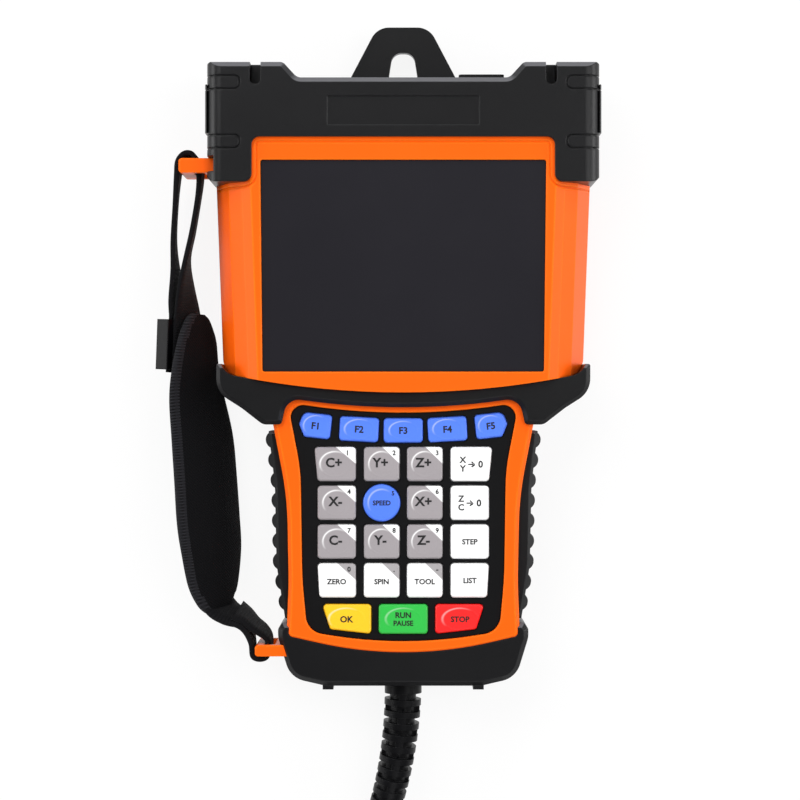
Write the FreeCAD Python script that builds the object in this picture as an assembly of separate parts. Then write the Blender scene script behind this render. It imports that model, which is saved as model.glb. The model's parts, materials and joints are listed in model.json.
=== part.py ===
import FreeCAD, Part
import math
import os

V = FreeCAD.Vector

# Handheld motion controller lying on its back, in millimetres.
# X runs to the right of the screen, Y towards the hanging hook, Z from the back to the screen.

# Fits
WALL = 2.5                 # housing wall
FIT = 0.15                 # gap round a fixed piece in its seat
CLEAR = 0.3                # gap round a piece that moves
LEAST_ROUND = 0.4          # smallest rounding left on an inset corner

# Levels above the back plane
PART_LINE = 20.0           # joint of the rear and front shells
HANDLE_FRONT = 34.0        # face of the keypad frame
HEAD_FRONT = 40.0          # face of the screen bezel

# Head of the housing
HEAD_TOP = 116.0
HEAD_TOP_ROUND = 6.0
HEAD_WIDE_Y = 80.0
HEAD_WIDE_HALF = 70.4      # half width at HEAD_WIDE_Y
HEAD_FOOT_Y = 13.0
HEAD_TAPER = 2.5           # half width lost from there to HEAD_FOOT_Y
HEAD_FOOT_ROUND = 7.0
HEAD_ARC_MARGIN = 6.4      # ends of the curved lower edge, in from the sides
HEAD_ARC_Y = 8.8           # height of those ends
HEAD_ARC_SAG = 6.0
BACK_RUN = 6.0             # chamfer of the back: run in from the widest line
BACK_RISE = 5.0
BELLY_RUN = 1.2            # draft between that chamfer and the part line
SIDE_RUN = 5.4             # steep side facet: run in, and drop below the bezel
SIDE_DROP = 7.0
BROW_RUN = 10.6            # flat side facet
BROW_DROP = 2.0
BEZEL_RUN = 14.1           # where the bezel is level

# Handle of the housing
NECK_TOP = 16.0
NECK_HALF = 49.0
NECK_Y = -6.0
NECK_ROUND = 10.0
PALM_HALF = 43.2           # half width under the thumb
PALM_Y = -36.0
HEEL_HALF = 42.6           # half width at the lower end of the grips
HEEL_Y = -68.0
SIDE_ROUND = 120.0
CORNER_HALF = 43.4         # lower corner of the keypad frame
CORNER_ROUND = 2.5
TAIL_ARC_HALF = 32.0       # curved lower edge of the keypad frame
TAIL_ARC_Y = -90.9
TAIL_ARC_SAG = 3.6
HANDLE_BACK_RUN = 7.0
HANDLE_BACK_RISE = 3.5
HANDLE_BELLY_RUN = 3.0
HANDLE_EDGE = 1.4          # chamfer round the keypad frame

# Display
LENS_TOP = 88.5
LENS_TOP_MARGIN = 17.8     # sides of the lens in from the widest line of the head
LENS_LOW = 10.6
LENS_LOW_MARGIN = 16.1     # and in from the foot of the head
LENS_ROUND = 0.7
LENS_DROP = 0.8            # lens face below the bezel
LENS_THICK = 1.8
LENS_LEDGE = 2.5           # ledge that the lens seal sits on
SEAL_THICK = 0.4
RIM_DEPTH = 2.0            # depth of the window rim behind the ledge
RIM_MARGIN = 2.0
DISPLAY_THICK = 6.0
BOARD_THICK = 1.6
BOARD_BOTTOM = 25.0
BOARD_MARGIN = 2.0
BOSS_RADIUS = 3.6
BOSS_INSET = 7.0           # board bosses in from the board's corners
FLEX_HALF = 12.0           # half width of the flat cable between the boards

# Keypad
OVERLAY_DROP = 1.0         # overlay face below the keypad frame
OVERLAY_THICK = 1.2
OVERLAY_LEDGE = 1.2
LEDGE_DEPTH = 2.0
PAD_TOP_HALF = 42.8
PAD_TOP_ARC_HALF = 36.0
PAD_TOP_ARC_Y = -2.1
PAD_TOP_SAG = 2.7
PAD_TOP_ROUND = 4.5
PAD_PALM_Y = -26.0
PAD_PALM_ROUND = 70.0
FRAME_RIM = 5.2            # width of the keypad frame's sides
PAD_HEEL_Y = -66.0
PAD_LOW_HALF = 35.6
PAD_LOW_ROUND = 7.0
PAD_LOW_ARC_HALF = 26.5
PAD_LOW_ARC_Y = -87.4
PAD_LOW_SAG = 2.1

# Keys
KEY_TRAVEL = 1.0
KEY_PROUD = 0.3            # key face above the keypad frame
KEY_ROUND = 1.3
KEY_EDGE = 0.5             # chamfer round the key face
KEY_FLANGE = 0.5           # flange that holds the key under the overlay
KEY_FLANGE_THICK = 1.4
KEY_FLANGE_GAP = 0.2
PLUNGER_SIZE = 4.0
PLUNGER_LENGTH = 1.6
DOME_RADIUS = 2.6
DOME_HEIGHT = 0.7
GRID_TOP = -23.8           # first grid row
GRID_PITCH = 14.4
GRID_INNER_X = 8.0
GRID_OUTER_X = 24.7
GRID_INNER_WIDTH = 13.1
GRID_OUTER_WIDTH = 14.1
GRID_HEIGHT = 12.6
GRID_FLARE = 1.2           # outer corner of the first row leans out
GRID_TUCK = 0.7            # outer corner of the last row leans in
ROUND_KEY = 13.7
ROUND_SHARE = 0.499        # rounding of the round key as a share of its width
SOFT_ARC = 301.0           # radius of the arc of soft keys
SOFT_Y = -11.3
SOFT_SIDE_COUNT = 2        # soft keys on each side of the middle one
SOFT_MARGIN = 7.25         # middle of the end keys in from the overlay's sides at their lower edge
SOFT_GAP = 2.0             # what the keys and the end keys are narrower than their pitch
SOFT_END_GAP = 4.6
SOFT_HEIGHT = 8.9
SOFT_END_CUT = 2.4         # cut outer corners of the end keys
WIDE_X = 21.0
WIDE_WIDTH = 18.1
WIDE_TOP = -75.9
WIDE_HEIGHT = 10.9
WIDE_TUCK = 3.0            # outer lower corner leans in
WIDE_LIFT = 1.7            # and up, along the overlay's edge

# Top bumper
BUMPER_WALL = 2.2          # bumper beyond the widest line of the head
BUMPER_HORN = 5.7          # raised corners above the lowered middle
BUMPER_CAP = 3.0           # lowered middle of the top edge above the head
BUMPER_STEP_OUT = 44.4
BUMPER_STEP_IN = 39.2
BUMPER_STEP_ROUND = 2.5
BUMPER_DIP_ROUND = 3.5
BUMPER_CORNER = 2.6
BEZEL_TOP = 8.6            # bezel between the lens and the bumper, above and beside the lens
BUMPER_LEG_DEEP = 16.6     # legs below that edge
BEZEL_SIDE = 3.3
BUMPER_LEG_ROUND = 3.0
BUMPER_LEG_EDGE = 4.5
BUMPER_FRONT = 41.5
BUMPER_BACK = 4.0
BUMPER_EDGE = 5.5          # rounding of the long upright edges
BUMPER_TOP_EDGE = 1.8
PANEL_PROUD = 0.8          # raised panel on each side of the bumper
PANEL_LOW = 25.9           # its ends below the bumper's top
PANEL_HIGH = 8.1
NOTCH_INSET = 18.0         # notches in from the bumper's sides
NOTCH_WIDTH = 4.0
NOTCH_DEPTH = 8.3
PLATE_LENGTH = 56.0
PLATE_HEIGHT = 10.7
PLATE_INSET = 9.3          # middle of the plate below the head's top
PLATE_SINK = 0.6
TAB_DROPS = (7.6, 29.4)    # outlined tabs round the upright edges, below the bumper's top
TAB_HEIGHT = 4.2
TAB_REACH = 12.0
TAB_GROOVE = 0.6           # width and depth of the groove round a tab
LIP_GAP = 1.5              # groove in the bezel along the bumper
LIP_WIDTH = 0.6
LIP_DEPTH = 0.4

# Hanging hook
HOOK_BACK = 6.0
HOOK_THICK = 4.0
HOOK_RISE = 26.2           # hook above the head
HOOK_TOP_HALF = 9.9
HOOK_TOP_ROUND = 7.5
HOOK_BASE_HALF = 25.0
HOOK_FOOT_HALF = 29.0
HOOK_FOOT_THICK = 2.2
HOOK_FOOT_DEPTH = 9.0
HOOK_BRIDGE = 9.7          # material above the hole
HOOK_HOLE_GAP = 1.5        # hole above the bumper
HOOK_HOLE_HALF = 5.9
HOOK_HOLE_TOP_HALF = 4.0
HOOK_HOLE_ROUND = 3.9
HOOK_HOLE_FOOT_ROUND = 1.0

# Port under its cover, on the top edge
PORT_X = 29.0
PORT_WIDTH = 12.0
PORT_HEIGHT = 6.0
PORT_LENGTH = 12.0
COVER_WIDTH = 16.7
COVER_DEPTH = 13.0
COVER_THICK = 1.4
COVER_GAP = 0.2

# Waist band
WAIST_WALL = 1.4           # band beyond the sides of the head
WAIST_FRONT = 37.5
WAIST_BACK = 3.0
WAIST_EDGE = 1.5
WAIST_EAR_TOP = 13.4
WAIST_EAR_LOW = 3.0
WAIST_EAR_EDGE = 0.8
WAIST_EAR_ROUND = 9.0
WAIST_BEND_IN = 9.3        # hollow under the ear, in from the ear
WAIST_BEND_Y = -2.9
WAIST_BEND_ROUND = 6.0
WAIST_LOW_REACH = 3.0      # lowest point beyond the neck
WAIST_LOW = -9.1
WAIST_LOW_ROUND = 4.0
WAIST_FRAME_GAP = 0.2      # where it meets the keypad frame's upper corner, beyond the overlay
WAIST_FRAME_ROUND = 5.5
WAIST_FRAME_STEP = 2.2
WAIST_ARC_HALF = 37.0
WAIST_ARC_Y = -0.1
WAIST_ARC_SAG = 2.6

# Grips
GRIP_BACK = 6.0
GRIP_FRONT = 30.0
GRIP_EDGE = 2.5
GRIP_TOP = -10.0
GRIP_LOW = -83.0
GRIP_NECK_REACH = 3.0      # grips beyond the housing, at the neck, palm and lower corner
GRIP_UPPER_Y = -32.0
GRIP_REACH = 6.2
GRIP_LOWER_Y = -62.0
GRIP_CORNER_REACH = 2.0
GRIP_ROUND = 60.0
GRIP_END_ROUND = 1.0
RIB_COUNT = 9
RIB_FIRST = -14.8
RIB_PITCH = 7.56
RIB_RADIUS = 3.3
RIB_PROUD = 1.5

# Bottom bumper
FOOT_TOP = -82.8
FOOT_HORN_REACH = 1.6      # horns and sides beyond the lower corner of the keypad frame
FOOT_REACH = 3.2
FOOT_SIDE_TOP = -85.2
FOOT_SIDE_LOW = -88.4
FOOT_CHEEK_HALF = 42.0
FOOT_CHEEK_Y = -103.4
FOOT_LOW_HALF = 29.0
FOOT_LOW = -106.4
FOOT_HORN_ROUND = 1.0
FOOT_SIDE_ROUND = 2.0
FOOT_CHEEK_ROUND = 9.0
FOOT_LOW_ROUND = 8.0
FOOT_FRONT = 33.4
FOOT_BACK = 3.0
FOOT_EDGE = 1.8
STUD_X = 28.0
STUD_WIDTH = 4.0
STUD_PROUD = 1.4

# Strap lugs
LUG_SLOT = 4.0
LUG_BAR = 5.6
LUG_DEPTH = 27.0
LUG_MIDDLE = 19.0          # height of the middle of lugs and strap
LUG_END_BAR = 3.0
LUG_REACH = 11.0           # outer end of the upper lug beyond the bumper
LUG_UPPER_GAP = 4.1        # upper lug above the end of the bumper's leg
LUG_UPPER_THICK = 5.4
LUG_LOWER_REACH = 8.6
LUG_LOWER_GAP = 11.0       # lower lug above the lowest edge
LUG_LOWER_THICK = 4.2
LUG_LOWER_BAR = 3.4
LUG_ROUND = 1.2
LUG_WINDOW = 2.6           # slot of the bumper's edge that shows the upper lug from the front

# Hand strap; offsets in x are from the line between the outer ends of the lugs
WEB_WIDTH = 18.5
WEB_THICK = 2.0
LOOP_UPPER_MEET = 49.5     # where the two legs of the upper loop meet
LOOP_UPPER_MEET_IN = -6.4
LOOP_ROUND = 2.4
LOOP_TURN_IN = -7.7        # where the strap below the loop begins to turn over
LOOP_TURN_Y = 42.0
LOOP_TURN_TWIST = -10.0
DOWN = -90.0               # heading of the strap below the loop
PAD_THICK = 5.0
WEB_HEADING = -92.0        # of the sleeve's upper part and the webbing behind it
WEB_TWIST = -30.0
BUCKLE_IN = -5.9
BUCKLE_Y = 20.5
BACKED_ROUTE = (           # (offset, y, width) of the sleeve where the webbing runs behind it
    (-3.7, 32.0, 9.0),
    (-4.9, 26.0, 15.5),
    (BUCKLE_IN, BUCKLE_Y, 21.5),
    (-8.0, 9.8, 25.0),
)
PAD_ROUTE = (              # (offset, y, heading, twist, width) of the rest of the sleeve
    (-8.5, 0.0, -85.0, -36.0, 26.0),
    (-8.8, -15.0, -85.0, -40.0, 27.7),
    (-10.0, -30.0, -86.0, -40.0, 28.5),
    (-11.5, -45.0, -86.0, -40.0, 28.6),
    (-12.3, -56.0, -87.0, -40.0, 27.0),
    (-13.7, -67.6, -88.0, -40.0, 22.7),
    (-14.5, -75.0, -85.0, -40.0, 16.0),
)
BUCKLE_HEIGHT = 18.8
BUCKLE_BAR = 3.6           # width and thickness of the two bars on the webbing's outer face
BUCKLE_THICK = 1.6
BUCKLE_RAIL = 3.2
BUCKLE_LIP = 1.2           # rails beyond the middle of the webbing, towards the pad
BUCKLE_PIN = 1.4           # thickness of the bar that the webbing folds round
TAIL_TURN_IN = -12.5       # turn of the strap above the lower lug
TAIL_TURN_Y = -80.5
TAIL_TURN_HEADING = -32.0
TAIL_TURN_TWIST = -24.0
TAIL_THICK = 3.0
TAIL_MEET_IN = 0.6         # where the strap joins the lower loop
TAIL_MEET_Y = -85.2
TAIL_MEET_HEADING = -30.0
LOWER_LOOP_OUT = 1.5       # upper corners of the lower loop
LOWER_LOOP_IN = 2.0
LOWER_LOOP_OUT_Y = -86.0
LOWER_LOOP_TOP_Y = -84.0
LOWER_LOOP_IN_Y = -88.5

# Cable
GLAND_Z = 16.5
BOOT_ROOT = 7.0            # radius of the first ring of the strain relief
BOOT_TIP = 6.1
BOOT_CORE = 5.0
BOOT_LENGTH = 58.0
BOOT_BEND = 140.0
BOOT_LEAN = V(-0.79, 0.0, -0.61)
BOOT_PITCH = 4.4
BOOT_RING = 2.3
BOOT_BRIDGE = 3.0          # width of the bridges between rings
BOOT_EASE = 0.3            # bridges inside the rings' surface, and into the rings
BOOT_COLLAR = 4.4
BOOT_STUB = 6.2
BOOT_FLANGE = 7.6
BOOT_FLANGE_THICK = 2.0
CABLE_RADIUS = 4.0
COIL_X = 14.0
COIL_DROP = 133.6          # middle of the coil below the lower edge
COIL_INNER = 28.0
COIL_OUTER = 60.0
COIL_BASE = 1.0
COIL_HEIGHT = 16.2
COIL_ROUND = 3.5
TIE_WIDTH = 12.0
TIE_THICK = 0.9
TIE_ANGLE = 60.0
PLUG_LENGTH = 40.0
PLUG_WIDTH = 38.0
PLUG_HEIGHT = 16.0
PLUG_BOOT = 12.0
PLUG_BOOT_RADIUS = 6.5
PLUG_SHELL_LENGTH = 7.0
PLUG_SHELL_WIDTH = 26.0
PLUG_SHELL_HEIGHT = 9.0
PLUG_BACK_ROUND = 2.0
PLUG_SHOULDER_ROUND = 3.0
PLUG_EDGE = 1.2
PLUG_SCREW = 2.2
PLUG_ANGLE = 5.0           # heading of the plug from +X
LEAD_RUN = 15.0            # straight run of the cable past the strain relief
LEAD_TURN_ANGLE = 123.8    # turns of the cable before it joins the coil, round the coil's middle
LEAD_TURN_RADIUS = 61.4
LEAD_LOW_ANGLE = 134.9
LEAD_LOW_RADIUS = 57.8
LEAD_ANGLE = 150.0         # where it joins the coil
TAIL_ROUTE = (             # (angle, radius, height) from the coil's top turn to the plug
    (186.0, 54.0, 13.5),
    (208.0, 53.0, 17.0),
    (230.0, 50.5, 21.0),
    (251.0, 46.5, 24.2),
)
PLUG_ENTRY_ANGLE = 275.0
PLUG_ENTRY_RADIUS = 42.0

# Screws of the housing
SCREW_HEAD = 3.0
SCREW_HEAD_DEEP = 2.6
SCREW_SHANK = 1.5
SCREW_BOSS = 4.0
SCREW_LENGTH = 24.0
SCREW_INSET = 9.9          # screws in from the sides of the head and the neck, and along them
SCREW_NECK_INSET = 8.0
SCREW_TOP_DROP = 11.0
SCREW_FOOT_RISE = 9.0
SCREW_NECK_RISE = 11.0

# Levels that follow from the sizes above
LENS_SEAT = HEAD_FRONT - LENS_DROP - LENS_THICK - SEAL_THICK
RIM_BACK = LENS_SEAT - RIM_DEPTH
OVERLAY_TOP = HANDLE_FRONT - OVERLAY_DROP
OVERLAY_BACK = OVERLAY_TOP - OVERLAY_THICK
HANDLE_ROOF = OVERLAY_BACK - LEDGE_DEPTH
KEY_TOP = HANDLE_FRONT + KEY_PROUD
FLANGE_TOP = OVERLAY_BACK - KEY_FLANGE_GAP
FLANGE_BACK = FLANGE_TOP - KEY_FLANGE_THICK
PLUNGER_BACK = FLANGE_BACK - PLUNGER_LENGTH
DOME_TOP = PLUNGER_BACK - KEY_TRAVEL - CLEAR
KEYBOARD_TOP = DOME_TOP - DOME_HEIGHT
KEYBOARD_BOTTOM = KEYBOARD_TOP - BOARD_THICK
COIL_TOP = COIL_BASE + COIL_HEIGHT
COIL_Y = FOOT_LOW - COIL_DROP
WEB_BEHIND = PAD_THICK / 2 + WEB_THICK + CLEAR
FAR = 300.0                # reach of the half spaces used for cutting

# Places that follow from the sizes above
HEAD_FOOT_HALF = HEAD_WIDE_HALF - HEAD_TAPER
HEAD_ARC_HALF = HEAD_FOOT_HALF - HEAD_ARC_MARGIN
LENS_TOP_HALF = HEAD_WIDE_HALF - LENS_TOP_MARGIN
LENS_LOW_HALF = HEAD_FOOT_HALF - LENS_LOW_MARGIN
PAD_PALM_HALF = PALM_HALF - FRAME_RIM
SOFT_LOW = SOFT_Y - SOFT_HEIGHT / 2
SOFT_TAPER = (PAD_TOP_HALF - PAD_PALM_HALF) * (PAD_TOP_ARC_Y - SOFT_LOW) / (PAD_TOP_ARC_Y - PAD_PALM_Y)
SOFT_PITCH = (PAD_TOP_HALF - SOFT_TAPER - SOFT_MARGIN) / SOFT_SIDE_COUNT
SOFT_WIDTH = SOFT_PITCH - SOFT_GAP
SOFT_END_WIDTH = SOFT_PITCH - SOFT_END_GAP
PAD_HEEL_HALF = HEEL_HALF - FRAME_RIM
BUMPER_HALF = HEAD_WIDE_HALF + BUMPER_WALL
BUMPER_DIP = HEAD_TOP + BUMPER_CAP
BUMPER_TOP = BUMPER_DIP + BUMPER_HORN
BUMPER_LOW = LENS_TOP + BEZEL_TOP
BUMPER_LEG_LOW = BUMPER_LOW - BUMPER_LEG_DEEP
BUMPER_LEG_IN = LENS_TOP_HALF + BEZEL_SIDE
HOOK_TOP = HEAD_TOP + HOOK_RISE
FOOT_HALF = CORNER_HALF + FOOT_REACH
LUG_UPPER_X = -BUMPER_HALF - LUG_REACH
LUG_UPPER_LOW = BUMPER_LEG_LOW + LUG_UPPER_GAP
LUG_UPPER_HIGH = LUG_UPPER_LOW + LUG_UPPER_THICK
LUG_LOWER_X = -FOOT_HALF - LUG_LOWER_REACH
LUG_LOWER_LOW = FOOT_LOW + LUG_LOWER_GAP
LUG_LOWER_HIGH = LUG_LOWER_LOW + LUG_LOWER_THICK


# Outlines: corners (x, y, rounding) listed clockwise

def sag_corner(half, end_y, sag):
    """Corner on the centre line whose rounding is the arc from (-half, end_y) to (half, end_y)."""
    radius = (half ** 2 + sag ** 2) / (2 * sag)
    slope = half / math.sqrt(radius ** 2 - half ** 2)
    return (0.0, end_y - half * slope, radius)


def beside(corner, half, end_y, x, rounding):
    """Corner at x on the straight line that leaves the arc of sag_corner at (half, end_y)."""
    slope = (end_y - corner[1]) / half
    return (x, corner[1] + x * slope, rounding)


def mirrored(right):
    """Whole outline from its right half, listed from the top down."""
    return right + [(-x, y, r) for x, y, r in reversed(right) if x > 0]


def inset(corners, depth):
    """Outline with every side moved in by depth and its roundings to match."""
    sides = []
    for start, end in zip(corners, corners[1:] + corners[:1]):
        length = math.hypot(end[0] - start[0], end[1] - start[1])
        ux = (end[0] - start[0]) / length
        uy = (end[1] - start[1]) / length
        sides.append((start[0] + uy * depth, start[1] - ux * depth, ux, uy))
    moved = []
    for i, corner in enumerate(corners):
        px, py, ux, uy = sides[i - 1]
        qx, qy, vx, vy = sides[i]
        turn = ux * vy - uy * vx
        step = ((qx - px) * vy - (qy - py) * vx) / turn
        rounding = corner[2] + (depth if turn > 0 else -depth)
        moved.append((px + ux * step, py + uy * step, max(rounding, LEAST_ROUND) if corner[2] else 0.0))
    return moved


def outline(corners, z):
    """Closed wire of straight sides and tangent arcs."""
    points = [V(x, y, z) for x, y, _ in corners]
    bends = []
    for i, (x, y, rounding) in enumerate(corners):
        here = points[i]
        ahead = (points[(i + 1) % len(points)] - here).normalize()
        back = (here - points[i - 1]).normalize()
        half_turn = back.getAngle(ahead) / 2
        cut = rounding * math.tan(half_turn)
        middle = here + (ahead - back).normalize() * rounding * (1 / math.cos(half_turn) - 1)
        bends.append((here - back * cut, middle, here + ahead * cut))
    edges = []
    for i, (start, middle, stop) in enumerate(bends):
        if corners[i][2]:
            edges.append(Part.Arc(start, middle, stop).toShape())
        edges.append(Part.LineSegment(stop, bends[(i + 1) % len(bends)][0]).toShape())
    return Part.Wire(edges)


def prism(corners, low, high):
    """Upright solid on an outline."""
    return Part.Face(outline(corners, low)).extrude(V(0, 0, high - low))


def stack(corners, levels):
    """Solid with straight flanks through insets of one outline at several heights."""
    return Part.makeLoft([outline(inset(corners, depth), z) for z, depth in levels], True, True)


def box(x0, x1, y0, y1, z0, z1):
    """Box between two corners."""
    return Part.makeBox(x1 - x0, y1 - y0, z1 - z0, V(x0, y0, z0))


def fuse(shapes):
    """One clean solid from touching shapes."""
    first, *others = shapes
    return first.multiFuse(others).removeSplitter() if others else first


def flipped(shape):
    """Mirror image on the other side of the centre plane."""
    return shape.mirror(V(0, 0, 0), V(1, 0, 0))


def one_solid(shape):
    """The largest solid of a shape that cutting may have split."""
    return max(shape.Solids, key=lambda solid: solid.Volume)


# Housing forms

def head_half(y):
    """Half width of the head at its widest line."""
    share = (y - HEAD_FOOT_Y) / (HEAD_WIDE_Y - HEAD_FOOT_Y)
    return HEAD_FOOT_HALF + share * (HEAD_WIDE_HALF - HEAD_FOOT_HALF)


def head_section(y, shrink):
    """Faceted section of the head across its width."""
    half = head_half(y) - shrink
    side = [
        (half - BACK_RUN, shrink),
        (half - BELLY_RUN, BACK_RISE + shrink),
        (half, PART_LINE),
        (half - SIDE_RUN, HEAD_FRONT - SIDE_DROP - shrink),
        (half - BROW_RUN, HEAD_FRONT - BROW_DROP - shrink),
        (half - BEZEL_RUN, HEAD_FRONT - shrink),
    ]
    points = [V(x, y, z) for x, z in side] + [V(-x, y, z) for x, z in reversed(side)]
    return Part.makePolygon(points + points[:1])


HEAD_ARC = sag_corner(HEAD_ARC_HALF, HEAD_ARC_Y, HEAD_ARC_SAG)
HEAD_PLAN = mirrored([
    (head_half(HEAD_TOP), HEAD_TOP, HEAD_TOP_ROUND),
    beside(HEAD_ARC, HEAD_ARC_HALF, HEAD_ARC_Y, head_half(HEAD_ARC_Y), HEAD_FOOT_ROUND),
    HEAD_ARC,
])

TAIL_ARC = sag_corner(TAIL_ARC_HALF, TAIL_ARC_Y, TAIL_ARC_SAG)
HANDLE_PLAN = mirrored([
    (NECK_HALF, NECK_TOP, CORNER_ROUND),
    (NECK_HALF, NECK_Y, NECK_ROUND),
    (PALM_HALF, PALM_Y, SIDE_ROUND),
    (HEEL_HALF, HEEL_Y, SIDE_ROUND),
    beside(TAIL_ARC, TAIL_ARC_HALF, TAIL_ARC_Y, CORNER_HALF, CORNER_ROUND),
    TAIL_ARC,
])

LENS_PLAN = mirrored([(LENS_TOP_HALF, LENS_TOP, LENS_ROUND), (LENS_LOW_HALF, LENS_LOW, LENS_ROUND)])

PAD_TOP_ARC = sag_corner(PAD_TOP_ARC_HALF, PAD_TOP_ARC_Y, PAD_TOP_SAG)
PAD_LOW_ARC = sag_corner(PAD_LOW_ARC_HALF, PAD_LOW_ARC_Y, PAD_LOW_SAG)
KEYPAD_PLAN = mirrored([
    PAD_TOP_ARC,
    beside(PAD_TOP_ARC, PAD_TOP_ARC_HALF, PAD_TOP_ARC_Y, PAD_TOP_HALF, PAD_TOP_ROUND),
    (PAD_PALM_HALF, PAD_PALM_Y, PAD_PALM_ROUND),
    (PAD_HEEL_HALF, PAD_HEEL_Y, SIDE_ROUND),
    beside(PAD_LOW_ARC, PAD_LOW_ARC_HALF, PAD_LOW_ARC_Y, PAD_LOW_HALF, PAD_LOW_ROUND),
    PAD_LOW_ARC,
])


def head_form(shrink):
    """Head of the housing, or its cavity when shrunk by the wall."""
    sections = [head_section(y, shrink) for y in (-HEAD_FOOT_Y, HEAD_TOP + HEAD_FOOT_Y)]
    body = Part.makeLoft(sections, True, True)
    return body.common(prism(inset(HEAD_PLAN, shrink), 0, HEAD_FRONT))


def handle_form():
    """Handle of the housing, with a rounded back and a chamfered keypad frame."""
    return stack(HANDLE_PLAN, [
        (0.0, HANDLE_BACK_RUN),
        (HANDLE_BACK_RISE, HANDLE_BELLY_RUN),
        (PART_LINE, 0.0),
        (HANDLE_FRONT - HANDLE_EDGE, 0.0),
        (HANDLE_FRONT, HANDLE_EDGE),
    ])


def handle_cavity():
    """Room inside the handle, under the keypad."""
    return stack(HANDLE_PLAN, [
        (WALL, HANDLE_BACK_RUN + WALL),
        (HANDLE_BACK_RISE + WALL, HANDLE_BELLY_RUN + WALL),
        (PART_LINE, WALL),
        (HANDLE_ROOF, WALL),
    ])


def screw_places():
    """Both sides of the housing screws."""
    top = HEAD_TOP - SCREW_TOP_DROP
    foot = HEAD_FOOT_Y + SCREW_FOOT_RISE
    right = [
        (head_half(top) - SCREW_INSET, top),
        (head_half(foot) - SCREW_INSET, foot),
        (NECK_HALF - SCREW_NECK_INSET, NECK_Y + SCREW_NECK_RISE),
    ]
    return [(side * x, y) for x, y in right for side in (-1, 1)]


def posts(places, radius, low, high):
    """Round posts or holes at several places."""
    return [Part.makeCylinder(radius, high - low, V(x, y, low)) for x, y in places]


def board_places():
    """Bosses under the main board."""
    half = LENS_LOW_HALF - BOSS_INSET
    return [(side * half, y) for y in (LENS_LOW + BOSS_INSET, LENS_TOP + BOSS_INSET) for side in (-1, 1)]


def keyboard_places():
    """Bosses under the keypad board."""
    half = PAD_HEEL_HALF - BOSS_INSET
    return [(side * half, y) for y in (PAD_PALM_Y, PAD_HEEL_Y) for side in (-1, 1)]


def hook_plan():
    """Outline of the hook plate above the housing."""
    return mirrored([
        (HOOK_TOP_HALF, HOOK_TOP, HOOK_TOP_ROUND),
        (HOOK_BASE_HALF, HEAD_TOP - WALL, 0.0),
    ])


def port_middle():
    """Height of the middle of the port."""
    return BOARD_BOTTOM + BOARD_THICK + PORT_HEIGHT / 2


def port_opening():
    """Way through the top wall to the port."""
    half = PORT_WIDTH / 2
    rise = PORT_HEIGHT / 2
    middle = port_middle()
    return box(PORT_X - half, PORT_X + half, HEAD_TOP - WALL, BUMPER_TOP, middle - rise, middle + rise)


def gland_bore(radius):
    """Bore for the cable through the lower end."""
    return Part.makeCylinder(radius, FAR, V(0, TAIL_ARC[1] + CORNER_HALF / 2, GLAND_Z), V(0, -1, 0))


def gland_seat():
    """Inner face of the lower wall, where the flange of the strain relief sits."""
    return TAIL_ARC_Y - TAIL_ARC_SAG + WALL + HANDLE_BELLY_RUN


def hook_slot():
    """Slot in the top wall and bumper that the hook plate passes through."""
    return prism(inset(hook_plan(), -FIT), HOOK_BACK - FIT, HOOK_BACK + HOOK_THICK + FIT)


def shells():
    """Rear and front shells with the seal between them."""
    housing = fuse([head_form(0.0), handle_form()])
    cavity = fuse([head_form(WALL), handle_cavity()])
    below = box(-FAR, FAR, -FAR, FAR, -FAR, PART_LINE)
    above = box(-FAR, FAR, -FAR, FAR, PART_LINE, FAR)
    walls = housing.cut(cavity)

    groove_low = PART_LINE - WALL / 5
    groove = box(-FAR, FAR, -FAR, FAR, groove_low, PART_LINE)
    third = WALL / 3
    ring = prism(inset(HEAD_PLAN, third), groove_low, PART_LINE)
    ring = ring.fuse(prism(inset(HANDLE_PLAN, third), groove_low, PART_LINE))
    core = prism(inset(HEAD_PLAN, 2 * third), groove_low, PART_LINE)
    core = core.fuse(prism(inset(HANDLE_PLAN, 2 * third), groove_low, PART_LINE))
    gasket = one_solid(ring.cut([core, gland_bore(BOOT_STUB + FIT)]).common(groove))

    bosses = posts(board_places(), BOSS_RADIUS, WALL, BOARD_BOTTOM)
    bosses += posts(keyboard_places(), BOSS_RADIUS, WALL, KEYBOARD_BOTTOM)
    bosses += posts(screw_places(), SCREW_BOSS, WALL / 2, PART_LINE)
    rear = walls.common(below).multiFuse([boss.common(housing) for boss in bosses])
    holes = posts(screw_places(), SCREW_HEAD + FIT, -WALL, SCREW_HEAD_DEEP)
    holes += posts(screw_places(), SCREW_SHANK + FIT, 0, PART_LINE)
    rear = rear.cut(holes + [gasket, gland_bore(BOOT_STUB + FIT), hook_slot()])

    rim = prism(inset(LENS_PLAN, -RIM_MARGIN), RIM_BACK, HEAD_FRONT - WALL)
    front_bosses = [boss.common(housing) for boss in posts(screw_places(), SCREW_BOSS, PART_LINE, HEAD_FRONT)]
    front = walls.common(above).multiFuse([rim] + front_bosses)
    cuts = [
        prism(inset(LENS_PLAN, -FIT), LENS_SEAT, HEAD_FRONT),
        prism(inset(LENS_PLAN, LENS_LEDGE), RIM_BACK, HEAD_FRONT),
        prism(inset(KEYPAD_PLAN, -FIT), OVERLAY_BACK, HANDLE_FRONT),
        prism(inset(KEYPAD_PLAN, OVERLAY_LEDGE), HANDLE_ROOF, HANDLE_FRONT),
        gland_bore(BOOT_STUB + FIT),
        port_opening(),
        lip_groove(),
    ]
    cuts += posts(screw_places(), SCREW_SHANK + FIT, PART_LINE, SCREW_LENGTH + CLEAR)
    front = front.cut(cuts)
    return housing, {"rear_shell": one_solid(rear), "front_shell": one_solid(front), "shell_gasket": gasket}


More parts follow.
